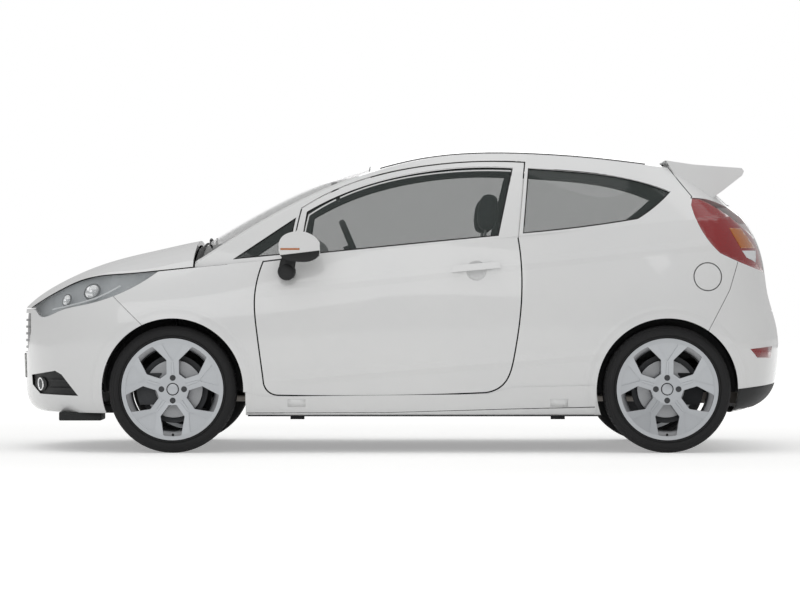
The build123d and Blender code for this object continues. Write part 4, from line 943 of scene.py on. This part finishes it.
# %% Door fittings
def from_inside(node, x, z, side):
    skin = skin_of(node)
    hit = skin.ray_cast(Vector((x, side * 0.55, z)), Vector((0, side, 0)))
    return abs(hit[0].y)


for side, sign in SIDES:
    door = f"{side}_door"
    shelf_y = from_inside(door, -0.05, 0.66, sign)
    rest = slab((-0.40, shelf_y - 0.060, 0.630), (0.26, shelf_y - 0.001, 0.690), 0.014)
    grip = slab((0.02, shelf_y - 0.050, 0.735), (0.28, shelf_y - 0.030, 0.758), 0.008)
    posts = [slab((x, shelf_y - 0.040, 0.738), (x + 0.03, shelf_y - 0.001, 0.755), 0.005)
             for x in (0.03, 0.24)]
    pocket = slab((-0.30, shelf_y - 0.035, 0.375), (0.20, shelf_y - 0.001, 0.470), 0.012)
    arm = joined(rest, grip, pocket, *posts)
    bmesh.ops.scale(arm, verts=arm.verts, vec=(1, sign, 1))
    bmesh.ops.recalc_face_normals(arm, faces=arm.faces)
    piece(f"{side}_door_armrest", arm, "leather", door, 40)
    speaker_y = from_inside(door, 0.36, 0.44, sign)
    place = facing(Vector((0.36, sign * (speaker_y - 0.002), 0.44)), Vector((0, -sign, 0)))
    rings = [spun([(r, 0.0), (r, 0.006), (r + 0.006, 0.006), (r + 0.006, 0.0)], 40, place)
             for r in (0.02, 0.04, 0.06, 0.078)]
    rings.append(spun([(0, 0.0005), (0.082, 0.0005), (0.082, 0.003), (0, 0.003)], 40, place))
    piece(f"{side}_door_speaker", joined(*rings), "black plastic", door, 40)

# %% [markdown]
# The other fittings follow no curved panel, so they are blocks with rounded edges and spun rods at their
# usual places. Only the inside mirror hangs from a point that a ray finds on the windscreen.

# %% Cabin fittings
for index, y in enumerate((0.28, 0.37, 0.46)):
    pad = slab((0.598, y - 0.026, 0.330), (0.612, y + 0.026, 0.385), 0.004)
    stem = slab((0.606, y - 0.006, 0.360), (0.746, y + 0.006, 0.376), 0.003)
    piece(f"pedal_{index + 1}", joined(pad, stem), "black plastic", "body", 40)
console = slab((-0.30, -0.075, 0.326), (0.06, 0.075, 0.385), 0.016)
brake = spun([(0, 0.0), (0.012, 0.0), (0.012, 0.10), (0.017, 0.12), (0.017, 0.22), (0.010, 0.23),
              (0, 0.23)], 24, facing(Vector((-0.24, 0.0, 0.365)), Vector((1, 0, 0.38))))
piece("hand_brake", joined(console, brake), "leather", "body", 40)
glass_line = dropped("windscreen", [(0.36, 0.0)], -0.004)[0]
view = slab((0.318, -0.115, glass_line.z - 0.105), (0.336, 0.115, glass_line.z - 0.040), 0.008)
hanger = slab((0.330, -0.010, glass_line.z - 0.075), (0.362, 0.010, glass_line.z - 0.003), 0.004)
piece("inside_mirror", joined(view, hanger), "black plastic", "body", 40)
hood = slab((0.470, 0.220, 0.915), (0.600, 0.520, 0.985), 0.02)
piece("instrument_hood", hood, "grey plastic", "body", 40)
for index, y in enumerate((0.305, 0.435)):
    dial = spun([(0, 0.0), (0.048, 0.0), (0.050, 0.004), (0.054, 0.004), (0.054, -0.006), (0, -0.006)], 36,
                facing(Vector((0.469, y, 0.948)), Vector((-1, 0, 0.15))))
    piece(f"dial_{index + 1}", dial, "gloss black", "body", 30)
screen = slab((0.452, -0.10, 0.905), (0.470, 0.10, 1.000), 0.004)
piece("centre_screen", screen, "gloss black", "body", 30)
for index, y in enumerate((-0.56, -0.17, 0.17, 0.59)):
    bars = [slab((0.440, y - 0.045, 0.845 + 0.014 * k), (0.470, y + 0.045, 0.849 + 0.014 * k), 0.001)
            for k in range(4)]
    piece(f"air_vent_{index + 1}", joined(*bars), "gloss black", "body", 30)
lever = spun([(0, 0.20), (0.014, 0.198), (0.022, 0.185), (0.022, 0.165), (0.010, 0.145), (0.008, 0.05),
              (0.045, 0.0), (0, 0.0)], 24, Matrix.Translation((0.22, 0.0, 0.479)))
piece("gear_lever", lever, "leather", "body", 40)
shelf = slab((-1.62, -0.52, 0.975), (-1.25, 0.52, 0.990), 0.006)
piece("parcel_shelf", shelf, "carpet", "body", 40)

# %% [markdown]
# Under the bonnet the CAD has one plain block. A ribbed cover, a battery, a coolant bottle and a slim
# radiator dress it for the pose with the bonnet up.

# %% Engine bay
cover = slab((1.15, -0.27, 0.818), (1.45, 0.27, 0.858), 0.016)
ribs = [slab((1.17, -0.22 + 0.055 * k, 0.855), (1.43, -0.20 + 0.055 * k, 0.866), 0.003) for k in range(9)]
piece("engine_cover", joined(cover, *ribs), "black plastic", "body", 40)
filler = spun([(0, 0.03), (0.022, 0.03), (0.026, 0.024), (0.026, 0.0), (0, 0.0)], 24,
              Matrix.Translation((1.40, 0.295, 0.818)))
piece("oil_filler_cap", filler, "gloss black", "body", 30)
battery = slab((0.86, 0.30, 0.60), (1.03, 0.53, 0.79), 0.006)
tray = slab((0.76, 0.30, 0.58), (1.03, 0.53, 0.602), 0.004)
piece("battery", joined(battery, tray), "black plastic", "body", 30)
bottle = slab((1.27, -0.47, 0.528), (1.42, -0.352, 0.700), 0.025)
piece("coolant_bottle", bottle, "plate", "body", 40)
liner = node_faces("bonnet", lambda n, p: n.z < -0.5)
for point, normal in (((1.70, 0, 0), (1, 0, 0)), ((1.10, 0, 0), (-1, 0, 0)), ((0, 0.56, 0), (0, 1, 0)),
                      ((0, -0.56, 0), (0, -1, 0))):
    below(liner, point, normal)
piece("bonnet_liner", liner, "carpet", "bonnet", 40, 0.004, 1.0)
radiator = slab((1.60, -0.344, 0.36), (1.65, 0.344, 0.78), 0.006)
piece("radiator", radiator, "aluminium", "body", 30)

# %% [markdown]
# The studio: a pale floor that keeps the car's shadow, a white surround, and big soft lamps. The camera
# looks straight at the left side from far away with a long lens, as the side view was drawn, and its
# height puts the ground where the picture has it.

# %% Floor, light and camera
bm = bmesh.new()
bmesh.ops.create_grid(bm, x_segments=1, y_segments=1, size=40.0)
ground_mesh = bpy.data.meshes.new("studio_floor")
bm.to_mesh(ground_mesh)
bm.free()
ground = bpy.data.objects.new("studio_floor", ground_mesh)
bpy.context.scene.collection.objects.link(ground)
backdrop, tree, shader, where = start_finish("pale_studio_floor", Roughness=0.9, Specular_IOR_Level=0.1)
mottle = add(tree, "ShaderNodeTexNoise", {"Vector": where, "Scale": 0.7, "Detail": 2.0})
two_tone(tree, shader, mottle.outputs["Fac"], "#EDEDEC", "#F3F3F2")
rays = add(tree, "ShaderNodeLightPath", {})
direct = add(tree, "ShaderNodeMath", {0: rays.outputs["Is Camera Ray"], 1: rays.outputs["Is Glossy Ray"]},
             operation="MAXIMUM")
direct = add(tree, "ShaderNodeMath", {0: direct.outputs[0], 1: rays.outputs["Is Transmission Ray"]},
             operation="MAXIMUM")
apart = add(tree, "ShaderNodeVectorMath", {0: where}, operation="LENGTH")
fade = add(tree, "ShaderNodeMapRange", {"Value": apart.outputs["Value"], "From Min": 2.5, "From Max": 9.0,
                                        "To Min": 0.34, "To Max": 0.62})
lift = add(tree, "ShaderNodeMath", {0: direct.outputs[0], 1: fade.outputs["Result"]}, operation="MULTIPLY")
shader.inputs["Emission Color"].default_value = linear("#FFFFFF")
tree.links.new(lift.outputs[0], shader.inputs["Emission Strength"])
ground_mesh.materials.append(backdrop)

world = bpy.data.worlds.new("white_surround")
bpy.context.scene.world = world
world.use_nodes = True
tree = world.node_tree
light_path = add(tree, "ShaderNodeLightPath", {})
seen = add(tree, "ShaderNodeMath", {0: light_path.outputs["Is Camera Ray"],
                                    1: light_path.outputs["Is Transmission Ray"]}, operation="MAXIMUM")
level = add(tree, "ShaderNodeMapRange", {"Value": seen.outputs[0], "To Min": 0.55, "To Max": 1.0})
sky = tree.nodes["Background"]
sky.inputs["Color"].default_value = linear("#FFFFFF")
tree.links.new(level.outputs["Result"], sky.inputs["Strength"])


def soft_lamp(name, place, aim, size, watts):
    lamp = bpy.data.lights.new(name, "AREA")
    lamp.shape, lamp.size, lamp.size_y, lamp.energy = "RECTANGLE", size[0], size[1], watts
    obj = bpy.data.objects.new(name, lamp)
    obj.location = place
    obj.rotation_euler = (Vector(aim) - Vector(place)).to_track_quat("-Z", "Y").to_euler()
    bpy.context.scene.collection.objects.link(obj)


soft_lamp("overhead_softbox", (0.0, 0.5, 5.0), (0, 0, 0.5), (7.0, 4.0), 60.0)
soft_lamp("left_softbox", (1.5, 7.0, 3.2), (0, 0, 0.6), (5.0, 3.0), 55.0)
soft_lamp("right_softbox", (-1.5, -7.0, 3.2), (0, 0, 0.6), (5.0, 3.0), 45.0)
MM_PER_PIXEL = 5.05
LENS_MM = 150.0
camera = bpy.data.cameras.new("side_camera")
camera.lens, camera.sensor_width, camera.clip_end = LENS_MM, 36.0, 200.0
eye = bpy.data.objects.new("side_camera", camera)
reach = 0.8 * MM_PER_PIXEL * LENS_MM / 36.0
eye.location = (0.0, 0.75 + reach, 0.769)
eye.rotation_euler = Vector((0, -1, 0)).to_track_quat("-Z", "Y").to_euler()
bpy.context.scene.collection.objects.link(eye)
bpy.context.scene.camera = eye
bpy.context.scene.view_settings.view_transform = "Standard"
print("camera", round(reach, 2), "m away")
